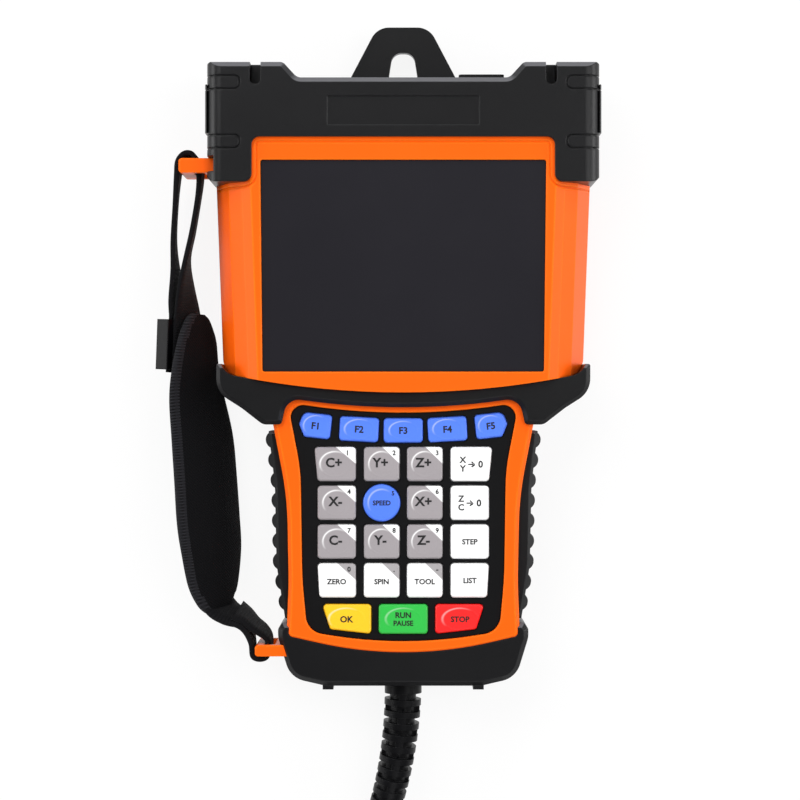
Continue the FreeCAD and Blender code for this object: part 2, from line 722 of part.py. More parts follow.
def shell_screws():
    """Screws of the housing, put in from the back."""
    screws = []
    for x, y in screw_places():
        head = Part.makeCylinder(SCREW_HEAD, SCREW_HEAD_DEEP - FIT, V(x, y, FIT))
        shank = Part.makeCylinder(SCREW_SHANK, SCREW_LENGTH - FIT, V(x, y, FIT))
        screws.append(fuse([head, shank]))
    return Part.makeCompound(screws)


# Bumpers, band and grips, all moulded to the housing

def bumper_section(grow):
    """Long bar with the section of the top bumper across its width."""
    half = BUMPER_HALF + grow
    front = BUMPER_FRONT + min(grow, 0.0)
    corners = [(half, -BUMPER_BACK, BUMPER_EDGE / 2), (half, -front, BUMPER_EDGE)]
    bar = prism(mirrored(corners), HEAD_FOOT_Y, HOOK_TOP)
    bar.rotate(V(0, 0, 0), V(1, 0, 0), -90)
    return bar


def bumper_plan():
    """Outline of the top bumper, a U over the head."""
    side = BUMPER_HALF + PANEL_PROUD
    return mirrored([
        (BUMPER_STEP_IN, BUMPER_DIP, BUMPER_DIP_ROUND),
        (BUMPER_STEP_OUT, BUMPER_TOP, BUMPER_STEP_ROUND),
        (side, BUMPER_TOP, BUMPER_CORNER),
        (side, BUMPER_LEG_LOW, BUMPER_LEG_EDGE),
        (BUMPER_LEG_IN, BUMPER_LEG_LOW, BUMPER_LEG_ROUND),
        (BUMPER_LEG_IN, BUMPER_LOW, BUMPER_LEG_ROUND),
    ])


def tab_plan(y):
    """Outline of a tab that comes round an upright edge of the bumper, on the right side."""
    end = BUMPER_HALF - TAB_REACH
    rise = TAB_HEIGHT / 2
    return [(end, y + rise, rise - LEAST_ROUND), (FAR, y + rise, 0.0), (FAR, y - rise, 0.0),
            (end, y - rise, rise - LEAST_ROUND)]


def lip_groove():
    """Fine groove in the bezel that follows the bumper's edge."""
    ring = prism(inset(bumper_plan(), -LIP_GAP - LIP_WIDTH), PART_LINE, HEAD_FRONT)
    ring = ring.cut(prism(inset(bumper_plan(), -LIP_GAP), PART_LINE, HEAD_FRONT))
    return ring.common(head_form(0.0).cut(head_form(LIP_DEPTH)))


def top_bumper(housing, lugs):
    """U-shaped cap of the head with notches, outlined tabs and a bare plate recess."""
    plan = bumper_plan()
    crown = mirrored([
        (BUMPER_STEP_IN, BUMPER_DIP, BUMPER_DIP_ROUND),
        (BUMPER_STEP_OUT, BUMPER_TOP, BUMPER_STEP_ROUND),
        (FAR, BUMPER_TOP, BUMPER_CORNER),
        (FAR, 0.0, BUMPER_CORNER),
    ])
    edge = BUMPER_TOP_EDGE
    body = prism(plan, BUMPER_BACK, BUMPER_FRONT)
    body = body.common(stack(crown, [
        (BUMPER_BACK, edge),
        (BUMPER_BACK + edge, 0.0),
        (BUMPER_FRONT - edge, 0.0),
        (BUMPER_FRONT, edge),
    ]))
    panels = box(-FAR, FAR, BUMPER_TOP - PANEL_LOW, BUMPER_TOP - PANEL_HIGH, BUMPER_BACK, FAR)
    plain = body.common(bumper_section(0.0))
    raised = body.common(bumper_section(PANEL_PROUD)).cut(box(
        -BUMPER_HALF, BUMPER_HALF, -FAR, FAR, BUMPER_BACK, FAR)).common(panels)
    skin = bumper_section(PANEL_PROUD).cut(bumper_section(-TAB_GROOVE))
    tabs = []
    for drop in TAB_DROPS:
        for side in (-1, 1):
            tab = [(side * x, y, r) for x, y, r in tab_plan(BUMPER_TOP - drop)]
            tab = tab if side > 0 else tab[::-1]
            tabs.append(prism(inset(tab, -TAB_GROOVE), PART_LINE, FAR).cut(prism(tab, PART_LINE, FAR)))
    grooves = skin.common(tabs[0].multiFuse(tabs[1:]))
    cuts = [housing, hook_slot(), port_opening(), grooves]
    for side in (-1, 1):
        x = side * (BUMPER_HALF - NOTCH_INSET)
        half = NOTCH_WIDTH / 2
        low = BUMPER_TOP - NOTCH_DEPTH + half
        cuts.append(box(x - half, x + half, low, FAR, PART_LINE, FAR))
        cuts.append(Part.makeCylinder(half, FAR, V(x, low, PART_LINE)))
    plate_y = HEAD_TOP - PLATE_INSET
    recess = box(-PLATE_LENGTH / 2, PLATE_LENGTH / 2, plate_y - PLATE_HEIGHT / 2, plate_y + PLATE_HEIGHT / 2,
                 BUMPER_FRONT - PLATE_SINK, FAR)
    window = box(-FAR, LUG_WINDOW - BUMPER_HALF, LUG_UPPER_LOW - FIT, LUG_UPPER_HIGH + FIT, LUG_MIDDLE, FAR)
    cuts += [recess, lugs, window]
    return one_solid(fuse([plain, raised]).cut(cuts))


def waist_band(housing):
    """Smile-shaped band between the head and the keypad frame."""
    low_arc = sag_corner(WAIST_ARC_HALF, WAIST_ARC_Y, WAIST_ARC_SAG)
    ear = HEAD_FOOT_HALF + WAIST_WALL
    frame = PAD_TOP_HALF + WAIST_FRAME_GAP
    plan = mirrored([
        (ear, WAIST_EAR_TOP, WAIST_EAR_EDGE),
        (ear, WAIST_EAR_LOW, WAIST_EAR_ROUND),
        (ear - WAIST_BEND_IN, WAIST_BEND_Y, WAIST_BEND_ROUND),
        (NECK_HALF + WAIST_LOW_REACH, WAIST_LOW, WAIST_LOW_ROUND),
        (frame + WAIST_FRAME_STEP, WAIST_LOW, WAIST_EDGE),
        beside(low_arc, WAIST_ARC_HALF, WAIST_ARC_Y, frame, WAIST_FRAME_ROUND),
        low_arc,
    ])
    band = stack(plan, [
        (WAIST_BACK, WAIST_EDGE),
        (WAIST_BACK + WAIST_EDGE, 0.0),
        (WAIST_FRONT - WAIST_EDGE, 0.0),
        (WAIST_FRONT, WAIST_EDGE),
    ])
    return one_solid(band.cut([housing, prism(HEAD_PLAN, 0.0, FAR)]))


GRIP_PLAN = [
    (0.0, GRIP_TOP, 0.0),
    (NECK_HALF + GRIP_NECK_REACH, GRIP_TOP, GRIP_END_ROUND),
    (PALM_HALF + GRIP_REACH, GRIP_UPPER_Y, GRIP_ROUND),
    (HEEL_HALF + GRIP_REACH, GRIP_LOWER_Y, GRIP_ROUND),
    (CORNER_HALF + GRIP_CORNER_REACH, GRIP_LOW, GRIP_END_ROUND),
    (0.0, GRIP_LOW, 0.0),
]


def grip_half(y):
    """Half width over the ribs at a height on the handle."""
    side = GRIP_PLAN[1:5]
    for upper, lower in zip(side, side[1:]):
        if lower[1] <= y <= upper[1]:
            share = (upper[1] - y) / (upper[1] - lower[1])
            return upper[0] + share * (lower[0] - upper[0])
    return side[-1][0]


def right_grip(housing):
    """Side grip with round ribs across it."""
    base = prism(inset(GRIP_PLAN, RIB_PROUD), GRIP_BACK, GRIP_FRONT)
    ribs = []
    for i in range(RIB_COUNT):
        y = RIB_FIRST - i * RIB_PITCH
        ribs += posts([(grip_half(y) - RIB_RADIUS, y)], RIB_RADIUS, GRIP_BACK, GRIP_FRONT)
    limit = stack(GRIP_PLAN, [
        (GRIP_BACK, GRIP_EDGE),
        (GRIP_BACK + GRIP_EDGE, 0.0),
        (GRIP_FRONT - GRIP_EDGE, 0.0),
        (GRIP_FRONT, GRIP_EDGE),
    ])
    return one_solid(base.multiFuse(ribs).common(limit).cut(housing))


def bottom_bumper(housing, lugs):
    """Cap of the lower end with two small studs and the cable outlet."""
    plan = mirrored([
        (CORNER_HALF + FOOT_HORN_REACH, FOOT_TOP, FOOT_HORN_ROUND),
        (FOOT_HALF, FOOT_SIDE_TOP, FOOT_SIDE_ROUND),
        (FOOT_HALF, FOOT_SIDE_LOW, FOOT_CHEEK_ROUND),
        (FOOT_CHEEK_HALF, FOOT_CHEEK_Y, FOOT_CHEEK_ROUND),
        (FOOT_LOW_HALF, FOOT_LOW, FOOT_LOW_ROUND),
    ])
    body = stack(plan, [
        (FOOT_BACK, FOOT_EDGE),
        (FOOT_BACK + FOOT_EDGE, 0.0),
        (FOOT_FRONT - FOOT_EDGE, 0.0),
        (FOOT_FRONT, FOOT_EDGE),
    ])
    studs = []
    for side in (-1, 1):
        x = side * STUD_X
        studs.append(box(x - STUD_WIDTH / 2, x + STUD_WIDTH / 2, FOOT_LOW - STUD_PROUD, FOOT_LOW + STUD_PROUD,
                         FOOT_BACK + FOOT_EDGE, FOOT_FRONT - FOOT_EDGE))
    return one_solid(fuse([body] + studs).cut([housing, gland_bore(BOOT_STUB + FIT), lugs]))


def hang_hook():
    """Hook plate with an arched hole and a cross foot inside the shell."""
    top = HOOK_BACK + HOOK_THICK
    plate = prism(hook_plan(), HOOK_BACK, top)
    hole = mirrored([
        (HOOK_HOLE_TOP_HALF, HOOK_TOP - HOOK_BRIDGE, HOOK_HOLE_ROUND),
        (HOOK_HOLE_HALF, BUMPER_DIP + HOOK_HOLE_GAP, HOOK_HOLE_FOOT_ROUND),
    ])
    inside = HEAD_TOP - WALL
    middle = (HOOK_BACK + top) / 2
    foot = box(-HOOK_FOOT_HALF, HOOK_FOOT_HALF, inside - HOOK_FOOT_THICK, inside,
               middle - HOOK_FOOT_DEPTH / 2 + WALL / 2, middle + HOOK_FOOT_DEPTH / 2)
    return fuse([plate.cut(prism(hole, HOOK_BACK, top)), foot])


# Display, boards and port

def display():
    """Lens, its seal, display module and main board with the port."""
    lens = prism(LENS_PLAN, LENS_SEAT + SEAL_THICK, HEAD_FRONT - LENS_DROP)
    seal = prism(LENS_PLAN, LENS_SEAT, LENS_SEAT + SEAL_THICK)
    seal = seal.cut(prism(inset(LENS_PLAN, LENS_LEDGE), LENS_SEAT, LENS_SEAT + SEAL_THICK))
    half = LENS_LOW_HALF + RIM_MARGIN
    module = box(-half, half, LENS_LOW, LENS_TOP + RIM_MARGIN, RIM_BACK - DISPLAY_THICK, RIM_BACK)
    board_top = BOARD_BOTTOM + BOARD_THICK
    upper = HEAD_TOP - WALL - BOARD_MARGIN
    board = box(-half, half, LENS_LOW, upper, BOARD_BOTTOM, board_top)
    width = PORT_WIDTH + 2 * FIT
    socket = box(PORT_X - width / 2, PORT_X + width / 2, upper - PORT_LENGTH, HEAD_TOP - WALL,
                 board_top, board_top + PORT_HEIGHT)
    wall = WALL / 3
    mouth = box(PORT_X - width / 2 + wall, PORT_X + width / 2 - wall, upper - PORT_LENGTH / 2, HEAD_TOP,
                board_top + wall, board_top + PORT_HEIGHT - wall)
    return {
        "display_lens": lens,
        "lens_gasket": seal,
        "display_module": module,
        "main_board": board,
        "port_socket": socket.cut(mouth),
    }


def port_cover():
    """Flap over the port, hinged along its rear edge."""
    low = BUMPER_DIP + COVER_GAP
    back = port_middle() - COVER_DEPTH / 2
    half = COVER_WIDTH / 2
    cover = box(PORT_X - half, PORT_X + half, low, low + COVER_THICK, back, back + COVER_DEPTH)
    upright = [edge for edge in cover.Edges if abs(edge.tangentAt(edge.FirstParameter).y) > 0.9]
    return cover.makeFillet(COVER_THICK, upright)


# Keypad

def rectangle(x, y, width, height, rounding):
    """Corners of a plain key, clockwise from the upper left."""
    half = width / 2
    rise = height / 2
    return [
        (x - half, y + rise, rounding),
        (x + half, y + rise, rounding),
        (x + half, y - rise, rounding),
        (x - half, y - rise, rounding),
    ]


def turned(corners, x, y, angle):
    """Outline turned about a point, in degrees."""
    c = math.cos(math.radians(angle))
    s = math.sin(math.radians(angle))
    return [(x + (px - x) * c - (py - y) * s, y + (px - x) * s + (py - y) * c, r) for px, py, r in corners]


def soft_key(place):
    """Outline of a soft key, counted from the middle one."""
    angle = math.degrees(place * SOFT_PITCH / SOFT_ARC)
    x = SOFT_ARC * math.sin(math.radians(angle))
    y = SOFT_Y + SOFT_ARC * (1 - math.cos(math.radians(angle)))
    if abs(place) < SOFT_SIDE_COUNT:
        return turned(rectangle(x, y, SOFT_WIDTH, SOFT_HEIGHT, KEY_ROUND), x, y, angle)
    half = SOFT_END_WIDTH / 2
    rise = SOFT_HEIGHT / 2
    side = math.copysign(1, place)
    shape = [
        (-half, rise, KEY_ROUND),
        (half - SOFT_END_CUT / 2, rise, 2 * KEY_ROUND),
        (half, 0.0, KEY_ROUND),
        (half - SOFT_END_CUT, -rise, KEY_ROUND),
        (-half, -rise, KEY_ROUND),
    ]
    placed = [(x + side * px, y + py, r) for px, py, r in shape]
    return turned(placed if side > 0 else placed[::-1], x, y, angle)


def grid_key(row, column):
    """Outline of a grid key, the outer columns following the overlay's flare."""
    y = GRID_TOP - row * GRID_PITCH
    if column in (1, 2):
        x = GRID_INNER_X if column == 2 else -GRID_INNER_X
        return rectangle(x, y, GRID_INNER_WIDTH, GRID_HEIGHT, KEY_ROUND)
    corners = rectangle(GRID_OUTER_X, y, GRID_OUTER_WIDTH, GRID_HEIGHT, KEY_ROUND)
    flare = GRID_FLARE if row == 0 else 0.0
    tuck = GRID_TUCK if row == 3 else 0.0
    corners[1] = (corners[1][0] + flare, corners[1][1], KEY_ROUND)
    corners[2] = (corners[2][0] - tuck, corners[2][1], KEY_ROUND)
    if column == 3:
        return corners
    return [(-x, y, r) for x, y, r in reversed(corners)]


def wide_key(place):
    """Outline of a key of the lowest row."""
    y = WIDE_TOP - WIDE_HEIGHT / 2
    if place == 0:
        return rectangle(0.0, y, WIDE_WIDTH, WIDE_HEIGHT, KEY_ROUND)
    corners = rectangle(WIDE_X, y, WIDE_WIDTH, WIDE_HEIGHT, KEY_ROUND)
    x, y, _ = corners[2]
    corners[2] = (x - WIDE_TUCK, y + WIDE_LIFT, KEY_ROUND)
    if place > 0:
        return corners
    return [(-x, y, r) for x, y, r in reversed(corners)]


def round_key():
    """Outline of the round key, as a square rounded to a circle."""
    return rectangle(-GRID_INNER_X, GRID_TOP - GRID_PITCH, ROUND_KEY, ROUND_KEY, ROUND_KEY * ROUND_SHARE)


GRID_NAMES = (
    ("key_1", "key_2", "key_3", "key_zero_all"),
    ("key_4", "key_5", "key_6", "key_zero_one"),
    ("key_7", "key_8", "key_9", "key_mode"),
    ("key_0", "key_point", "key_minus", "key_menu"),
)


def key_outlines():
    """Outline of every key by name."""
    keys = {}
    for place in range(-SOFT_SIDE_COUNT, SOFT_SIDE_COUNT + 1):
        keys[f"soft_key_{place + SOFT_SIDE_COUNT + 1}"] = soft_key(place)
    for row, names in enumerate(GRID_NAMES):
        for column, name in enumerate(names):
            keys[name] = grid_key(row, column)
    keys["key_5"] = round_key()
    keys["key_accept"] = wide_key(-1)
    keys["key_run"] = wide_key(0)
    keys["key_stop"] = wide_key(1)
    return keys


def key_centre(corners):
    """Middle of a key's box."""
    xs = [x for x, _, _ in corners]
    ys = [y for _, y, _ in corners]
    return (min(xs) + max(xs)) / 2, (min(ys) + max(ys)) / 2


def key_solid(corners):
    """Key cap with a flange under the overlay and a plunger over its dome."""
    x, y = key_centre(corners)
    cap = stack(corners, [(FLANGE_BACK, 0.0), (KEY_TOP - KEY_EDGE, 0.0), (KEY_TOP, KEY_EDGE)])
    flange = prism([(px, py, 0.0) for px, py, _ in inset(corners, -KEY_FLANGE)], FLANGE_BACK, FLANGE_TOP)
    half = PLUNGER_SIZE / 2
    plunger = box(x - half, x + half, y - half, y + half, PLUNGER_BACK, FLANGE_BACK)
    return fuse([cap, flange, plunger])


def keypad():
    """Keys, overlay, keypad board and domes."""
    keys = key_outlines()
    parts = {name: key_solid(corners) for name, corners in keys.items()}
    windows = [prism(inset(corners, -CLEAR), OVERLAY_BACK, OVERLAY_TOP) for corners in keys.values()]
    parts["keypad_overlay"] = prism(KEYPAD_PLAN, OVERLAY_BACK, OVERLAY_TOP).cut(windows)
    margin = OVERLAY_LEDGE + BOARD_MARGIN / 2
    parts["keypad_board"] = prism(inset(KEYPAD_PLAN, margin), KEYBOARD_BOTTOM, KEYBOARD_TOP)
    places = [key_centre(corners) for corners in keys.values()]
    parts["key_domes"] = Part.makeCompound(posts(places, DOME_RADIUS, KEYBOARD_TOP, DOME_TOP))
    return parts


# Strap

def lug(outer, low, high, bar, inner, housing):
    """Strap lug: a block on the side of the housing with a slot for the webbing."""
    z0 = LUG_MIDDLE - LUG_DEPTH / 2
    z1 = LUG_MIDDLE + LUG_DEPTH / 2
    plan = [(outer, high, LUG_ROUND), (inner, high, 0.0), (inner, low, 0.0), (outer, low, LUG_ROUND)]
    body = prism(plan, z0, z1)
    slot = box(outer + bar, outer + bar + LUG_SLOT, low, high, z0 + LUG_END_BAR, z1 - LUG_END_BAR)
    return one_solid(body.cut([slot, housing]))


def lug_room(outer, low, high):
    """Room for a lug through a bumper."""
    z0 = LUG_MIDDLE - LUG_DEPTH / 2
    z1 = LUG_MIDDLE + LUG_DEPTH / 2
    return box(outer, 0.0, low - FIT, high + FIT, z0 - FIT, z1 + FIT)


def strap_x(offset, y):
    """Place across, from the line between the outer ends of the two lugs."""
    share = (LUG_UPPER_HIGH - y) / (LUG_UPPER_HIGH - LUG_LOWER_HIGH)
    return LUG_UPPER_X + share * (LUG_LOWER_X - LUG_UPPER_X) + offset


def ribbon(stations):
    """Webbing through stations (x, y, heading, twist, width, thickness, behind), angles in degrees.

    The heading lies in the XY plane. With no twist the webbing stands on edge. It lies behind its
    station by the last value, on the side away from the housing.
    """
    wires = []
    for x, y, heading, twist, width, thick, behind in stations:
        along = V(math.cos(math.radians(heading)), math.sin(math.radians(heading)), 0)
        side = V(-along.y, along.x, 0)
        across = V(0, 0, 1) * math.cos(math.radians(twist)) + side * math.sin(math.radians(twist))
        normal = along.cross(across)
        centre = V(x, y, LUG_MIDDLE) + normal * behind
        corners = [centre + across * (a * width / 2) + normal * (b * thick / 2)
                   for a, b in ((-1, -1), (1, -1), (1, 1), (-1, 1))]
        wires.append(Part.makePolygon(corners + corners[:1]))
    return Part.makeLoft(wires, True, True)


def loop(corners):
    """Closed loop of webbing on edge round a lug's bar."""
    low = LUG_MIDDLE - WEB_WIDTH / 2
    high = LUG_MIDDLE + WEB_WIDTH / 2
    return prism(corners, low, high).cut(prism(inset(corners, WEB_THICK), low, high))


def on_webbing(shape):
    """Move a shape from the buckle's own frame, outer face towards -X, onto the webbing."""
    shape.translate(V(-WEB_BEHIND, 0, 0))
    shape.rotate(V(0, 0, 0), V(0, 1, 0), WEB_TWIST)
    shape.rotate(V(0, 0, 0), V(0, 0, 1), WEB_HEADING - DOWN)
    shape.translate(V(strap_x(BUCKLE_IN, BUCKLE_Y), BUCKLE_Y, LUG_MIDDLE))
    return shape


def buckle_pin(gap):
    """Bar that the webbing folds round, with a gap about it."""
    thick = BUCKLE_PIN / 2 + gap
    wide = BUCKLE_PIN + gap
    half = WEB_WIDTH / 2 + CLEAR
    return box(-thick, thick, -wide, wide, -half, half)


def buckle():
    """Slide buckle: two rails, two bars on the outer face of the webbing and one in its fold."""
    half = WEB_WIDTH / 2 + CLEAR
    rise = BUCKLE_HEIGHT / 2
    face = -WEB_THICK - CLEAR
    outer = face - BUCKLE_THICK
    pieces = [buckle_pin(0.0)]
    for low in (-rise, rise - BUCKLE_BAR):
        pieces.append(box(outer, face, low, low + BUCKLE_BAR, -half, half))
    for low in (-half - BUCKLE_RAIL, half):
        pieces.append(box(outer, BUCKLE_LIP, -rise, rise, low, low + BUCKLE_RAIL))
    return on_webbing(fuse(pieces))


def strap():
    """Hand strap from the upper lug to the lower one."""
    bar_out = LUG_UPPER_X - CLEAR - WEB_THICK
    slot_in = LUG_UPPER_X + LUG_BAR + CLEAR + WEB_THICK
    arch = LUG_UPPER_HIGH + CLEAR + WEB_THICK
    meet = strap_x(LOOP_UPPER_MEET_IN, LOOP_UPPER_MEET)
    upper = loop([
        (bar_out, arch, LOOP_ROUND),
        (slot_in, arch, LOOP_ROUND),
        (slot_in, LUG_UPPER_LOW - WEB_THICK, 2 * LOOP_ROUND),
        (meet + WEB_THICK, LOOP_UPPER_MEET, 0.0),
        (meet - WEB_THICK, LOOP_UPPER_MEET, 0.0),
    ])
    double = 2 * WEB_THICK
    backing = []
    pad = []
    for offset, y, width in BACKED_ROUTE:
        place = (strap_x(offset, y), y, WEB_HEADING, WEB_TWIST)
        backing.append(place + (WEB_WIDTH, double, WEB_BEHIND))
        pad.append(place + (width, PAD_THICK, 0.0))
    for offset, y, heading, twist, width in PAD_ROUTE:
        pad.append((strap_x(offset, y), y, heading, twist, width, PAD_THICK, 0.0))
    turn = strap_x(LOOP_TURN_IN, LOOP_TURN_Y)
    upper_end = [
        (meet, LOOP_UPPER_MEET, DOWN, 0.0, WEB_WIDTH, double, 0.0),
        (turn, LOOP_TURN_Y, DOWN, LOOP_TURN_TWIST, WEB_WIDTH, double, 0.0),
    ] + backing
    bar_low = LUG_LOWER_LOW - CLEAR - WEB_THICK
    lower_out = LUG_LOWER_X - CLEAR - WEB_THICK
    lower_in = LUG_LOWER_X + LUG_LOWER_BAR + CLEAR + WEB_THICK
    lower = loop([
        (lower_out - LOWER_LOOP_OUT, LOWER_LOOP_OUT_Y, 0.0),
        (lower_out + LOWER_LOOP_IN, LOWER_LOOP_TOP_Y, 0.0),
        (lower_in, LOWER_LOOP_IN_Y, LOOP_ROUND),
        (lower_in, bar_low, LOOP_ROUND),
        (lower_out, bar_low, LOOP_ROUND),
    ])
    tail_x = strap_x(TAIL_TURN_IN, TAIL_TURN_Y)
    tail_meet = lower_out + TAIL_MEET_IN
    lower_end = [
        pad[-1][:4] + (WEB_WIDTH, WEB_THICK, 0.0),
        (tail_x, TAIL_TURN_Y, TAIL_TURN_HEADING, TAIL_TURN_TWIST, WEB_WIDTH, TAIL_THICK, 0.0),
        (tail_meet, TAIL_MEET_Y, TAIL_MEET_HEADING, 0.0, WEB_WIDTH, TAIL_THICK, 0.0),
    ]
    webbing = fuse([upper, ribbon(upper_end)])
    return {
        "strap_upper_webbing": one_solid(webbing.cut(on_webbing(buckle_pin(CLEAR)))),
        "strap_buckle": buckle(),
        "strap_pad": ribbon(pad),
        "strap_lower_webbing": fuse([lower, ribbon(lower_end)]),
    }


# Cable

def boot_point(along):
    """Point and heading of the strain relief at a length from the lower end."""
    turn = along / BOOT_BEND
    start = V(0, FOOT_LOW, GLAND_Z)
    ahead = V(0, -1, 0) * (BOOT_BEND * math.sin(turn))
    point = start + ahead + BOOT_LEAN * (BOOT_BEND * (1 - math.cos(turn)))
    heading = V(0, -1, 0) * math.cos(turn) + BOOT_LEAN * math.sin(turn)
    return point, heading


def strain_relief():
    """Bent sleeve with rings that get smaller, and a stub that locks in the shell wall."""
    start, heading = boot_point(0)
    middle, _ = boot_point(BOOT_LENGTH / 2)
    end, _ = boot_point(BOOT_LENGTH)
    path = Part.Wire([Part.Arc(start, middle, end).toShape()])
    profile = Part.Wire([Part.makeCircle(BOOT_CORE, start, heading)])
    pieces = [path.makePipeShell([profile], True, False)]
    pieces.append(Part.makeCylinder(BOOT_ROOT, BOOT_COLLAR, start, heading))
    count = int((BOOT_LENGTH - BOOT_COLLAR) / BOOT_PITCH)
    for i in range(count):
        radius = BOOT_ROOT + (BOOT_TIP - BOOT_ROOT) * (i + 1) / count
        gap = BOOT_COLLAR + i * BOOT_PITCH
        point, heading = boot_point(gap - BOOT_EASE)
        limit = Part.makeCylinder(radius - BOOT_EASE, BOOT_PITCH - BOOT_RING + 2 * BOOT_EASE, point, heading)
        bridge = box(-BOOT_BRIDGE / 2, BOOT_BRIDGE / 2, -FAR, FAR, 0.0, BOOT_PITCH)
        bridge.rotate(V(0, 0, 0), V(0, 0, 1), 90 * (i % 2))
        turn = FreeCAD.Rotation(V(1, 0, 0), V(0, 1, 0), heading, "ZXY")
        bridge.Placement = FreeCAD.Placement(point, turn).multiply(bridge.Placement)
        pieces.append(limit.common(bridge))
        point, heading = boot_point(gap + BOOT_PITCH - BOOT_RING)
        pieces.append(Part.makeCylinder(radius, BOOT_RING, point, heading))
    inside = gland_seat()
    stub = Part.makeCylinder(BOOT_STUB, inside - FOOT_LOW, V(0, FOOT_LOW, GLAND_Z), V(0, 1, 0))
    flange = Part.makeCylinder(BOOT_FLANGE, BOOT_FLANGE_THICK, V(0, inside, GLAND_Z), V(0, 1, 0))
    return fuse(pieces + [stub, flange])


def cord_tube(points, radius):
    """Tube along straight runs joined by tangent arcs, each as large as its runs allow."""
    edges = []
    start = points[0]
    for before, here, after in zip(points, points[1:], points[2:]):
        back = (before - here).normalize()
        ahead = (after - here).normalize()
        half_turn = (math.pi - back.getAngle(ahead)) / 2
        cut = 0.45 * min((before - here).Length, (after - here).Length)
        bend = cut / math.tan(half_turn)
        middle = here + (back + ahead).normalize() * bend * (1 / math.cos(half_turn) - 1)
        edges.append(Part.LineSegment(start, here + back * cut).toShape())
        edges.append(Part.Arc(here + back * cut, middle, here + ahead * cut).toShape())
        start = here + ahead * cut
    edges.append(Part.LineSegment(start, points[-1]).toShape())
    path = Part.Wire(edges)
    profile = Part.Wire([Part.makeCircle(radius, points[0], points[1] - points[0])])
    return path.makePipeShell([profile], True, False)


def coil_ring(grow):
    """Outer shape of the put-away coil."""
    section = [
        (COIL_INNER - grow, -COIL_BASE + grow, COIL_ROUND),
        (COIL_OUTER + grow, -COIL_BASE + grow, COIL_ROUND),
        (COIL_OUTER + grow, -COIL_TOP - grow, COIL_ROUND),
        (COIL_INNER - grow, -COIL_TOP - grow, COIL_ROUND),
    ]
    face = Part.Face(outline(section, 0))
    face.rotate(V(0, 0, 0), V(1, 0, 0), -90)
    ring = face.revolve(V(0, 0, 0), V(0, 0, 1), 360)
    ring.translate(V(COIL_X, COIL_Y, 0))
    return ring


def coil_point(angle, radius, z):
    """Point on the coil at an angle from +X."""
    turn = math.radians(angle)
    return V(COIL_X + radius * math.cos(turn), COIL_Y + radius * math.sin(turn), z)


def coil_tie(ring):
    """Flat tie round the bundle of turns."""
    outer = box(COIL_INNER - TIE_THICK, COIL_OUTER + TIE_THICK, -TIE_WIDTH / 2, TIE_WIDTH / 2,
                COIL_BASE - TIE_THICK, COIL_TOP + TIE_THICK)
    outer.rotate(V(0, 0, 0), V(0, 0, 1), TIE_ANGLE)
    outer.translate(V(COIL_X, COIL_Y, 0))
    return one_solid(outer.cut(ring))


def plug(entry):
    """Hood with a cable outlet, contact shell and two thumb screws, built along +X and then turned."""
    half = PLUG_WIDTH / 2
    rise = PLUG_HEIGHT / 2
    back = PLUG_BOOT
    front = PLUG_BOOT + PLUG_LENGTH
    hood_plan = [
        (back, half / 2, PLUG_BACK_ROUND),
        (back + half / 2, half, PLUG_SHOULDER_ROUND),
        (front, half, PLUG_EDGE),
        (front, -half, PLUG_EDGE),
        (back + half / 2, -half, PLUG_SHOULDER_ROUND),
        (back, -half / 2, PLUG_BACK_ROUND),
    ]
    edge = PLUG_EDGE
    hood = stack(hood_plan, [(-rise, edge), (edge - rise, 0.0), (rise - edge, 0.0), (rise, edge)])
    outlet = Part.makeCylinder(PLUG_BOOT_RADIUS, PLUG_BOOT, V(0, 0, 0), V(1, 0, 0))
    shell_half = PLUG_SHELL_WIDTH / 2
    shell_rise = PLUG_SHELL_HEIGHT / 2
    shell = box(front, front + PLUG_SHELL_LENGTH, -shell_half, shell_half, -shell_rise, shell_rise)
    screw_y = (half + shell_half) / 2
    screws = []
    for side in (-1, 1):
        foot = V(front, side * screw_y, 0)
        screws.append(Part.makeCylinder(PLUG_SCREW, PLUG_SHELL_LENGTH, foot, V(1, 0, 0)))
    parts = {
        "cable_plug": fuse([hood, outlet]),
        "plug_shell": shell,
        "plug_screws": Part.makeCompound(screws),
    }
    for piece in parts.values():
        piece.rotate(V(0, 0, 0), V(0, 0, 1), PLUG_ANGLE)
        piece.translate(entry)
    return parts


def cable():
    """Strain relief, cable, put-away coil, tail and plug."""
    end, heading = boot_point(BOOT_LENGTH)
    floor = COIL_BASE + CABLE_RADIUS
    lead = [
        end,
        end + heading * LEAD_RUN,
        coil_point(LEAD_TURN_ANGLE, LEAD_TURN_RADIUS, floor),
        coil_point(LEAD_LOW_ANGLE, LEAD_LOW_RADIUS, floor),
        coil_point(LEAD_ANGLE, COIL_OUTER - CABLE_RADIUS, floor),
    ]
    top = COIL_TOP + PLUG_HEIGHT / 2
    entry = coil_point(PLUG_ENTRY_ANGLE, PLUG_ENTRY_RADIUS, top)
    tail = [coil_point(angle, radius, z) for angle, radius, z in TAIL_ROUTE] + [entry]
    ring = coil_ring(0.0)
    parts = {
        "strain_relief": strain_relief(),
        "cable": one_solid(cord_tube(lead, CABLE_RADIUS).cut(ring)),
        "cable_coil": ring,
        "cable_tail": one_solid(cord_tube(tail, CABLE_RADIUS).cut(ring)),
        "coil_tie": coil_tie(ring),
    }
    parts.update(plug(entry))
    parts["cable_tail"] = one_solid(parts["cable_tail"].cut(parts["cable_plug"]))
    return parts


def flex_cable():
    """Flat cable from the main board to the keypad board."""
    top = max(BOARD_BOTTOM + BOARD_THICK, KEYBOARD_TOP)
    low = SOFT_Y + DOME_RADIUS + CLEAR
    return box(-FLEX_HALF, FLEX_HALF, low, LENS_LOW + BOSS_INSET, top, top + SEAL_THICK)


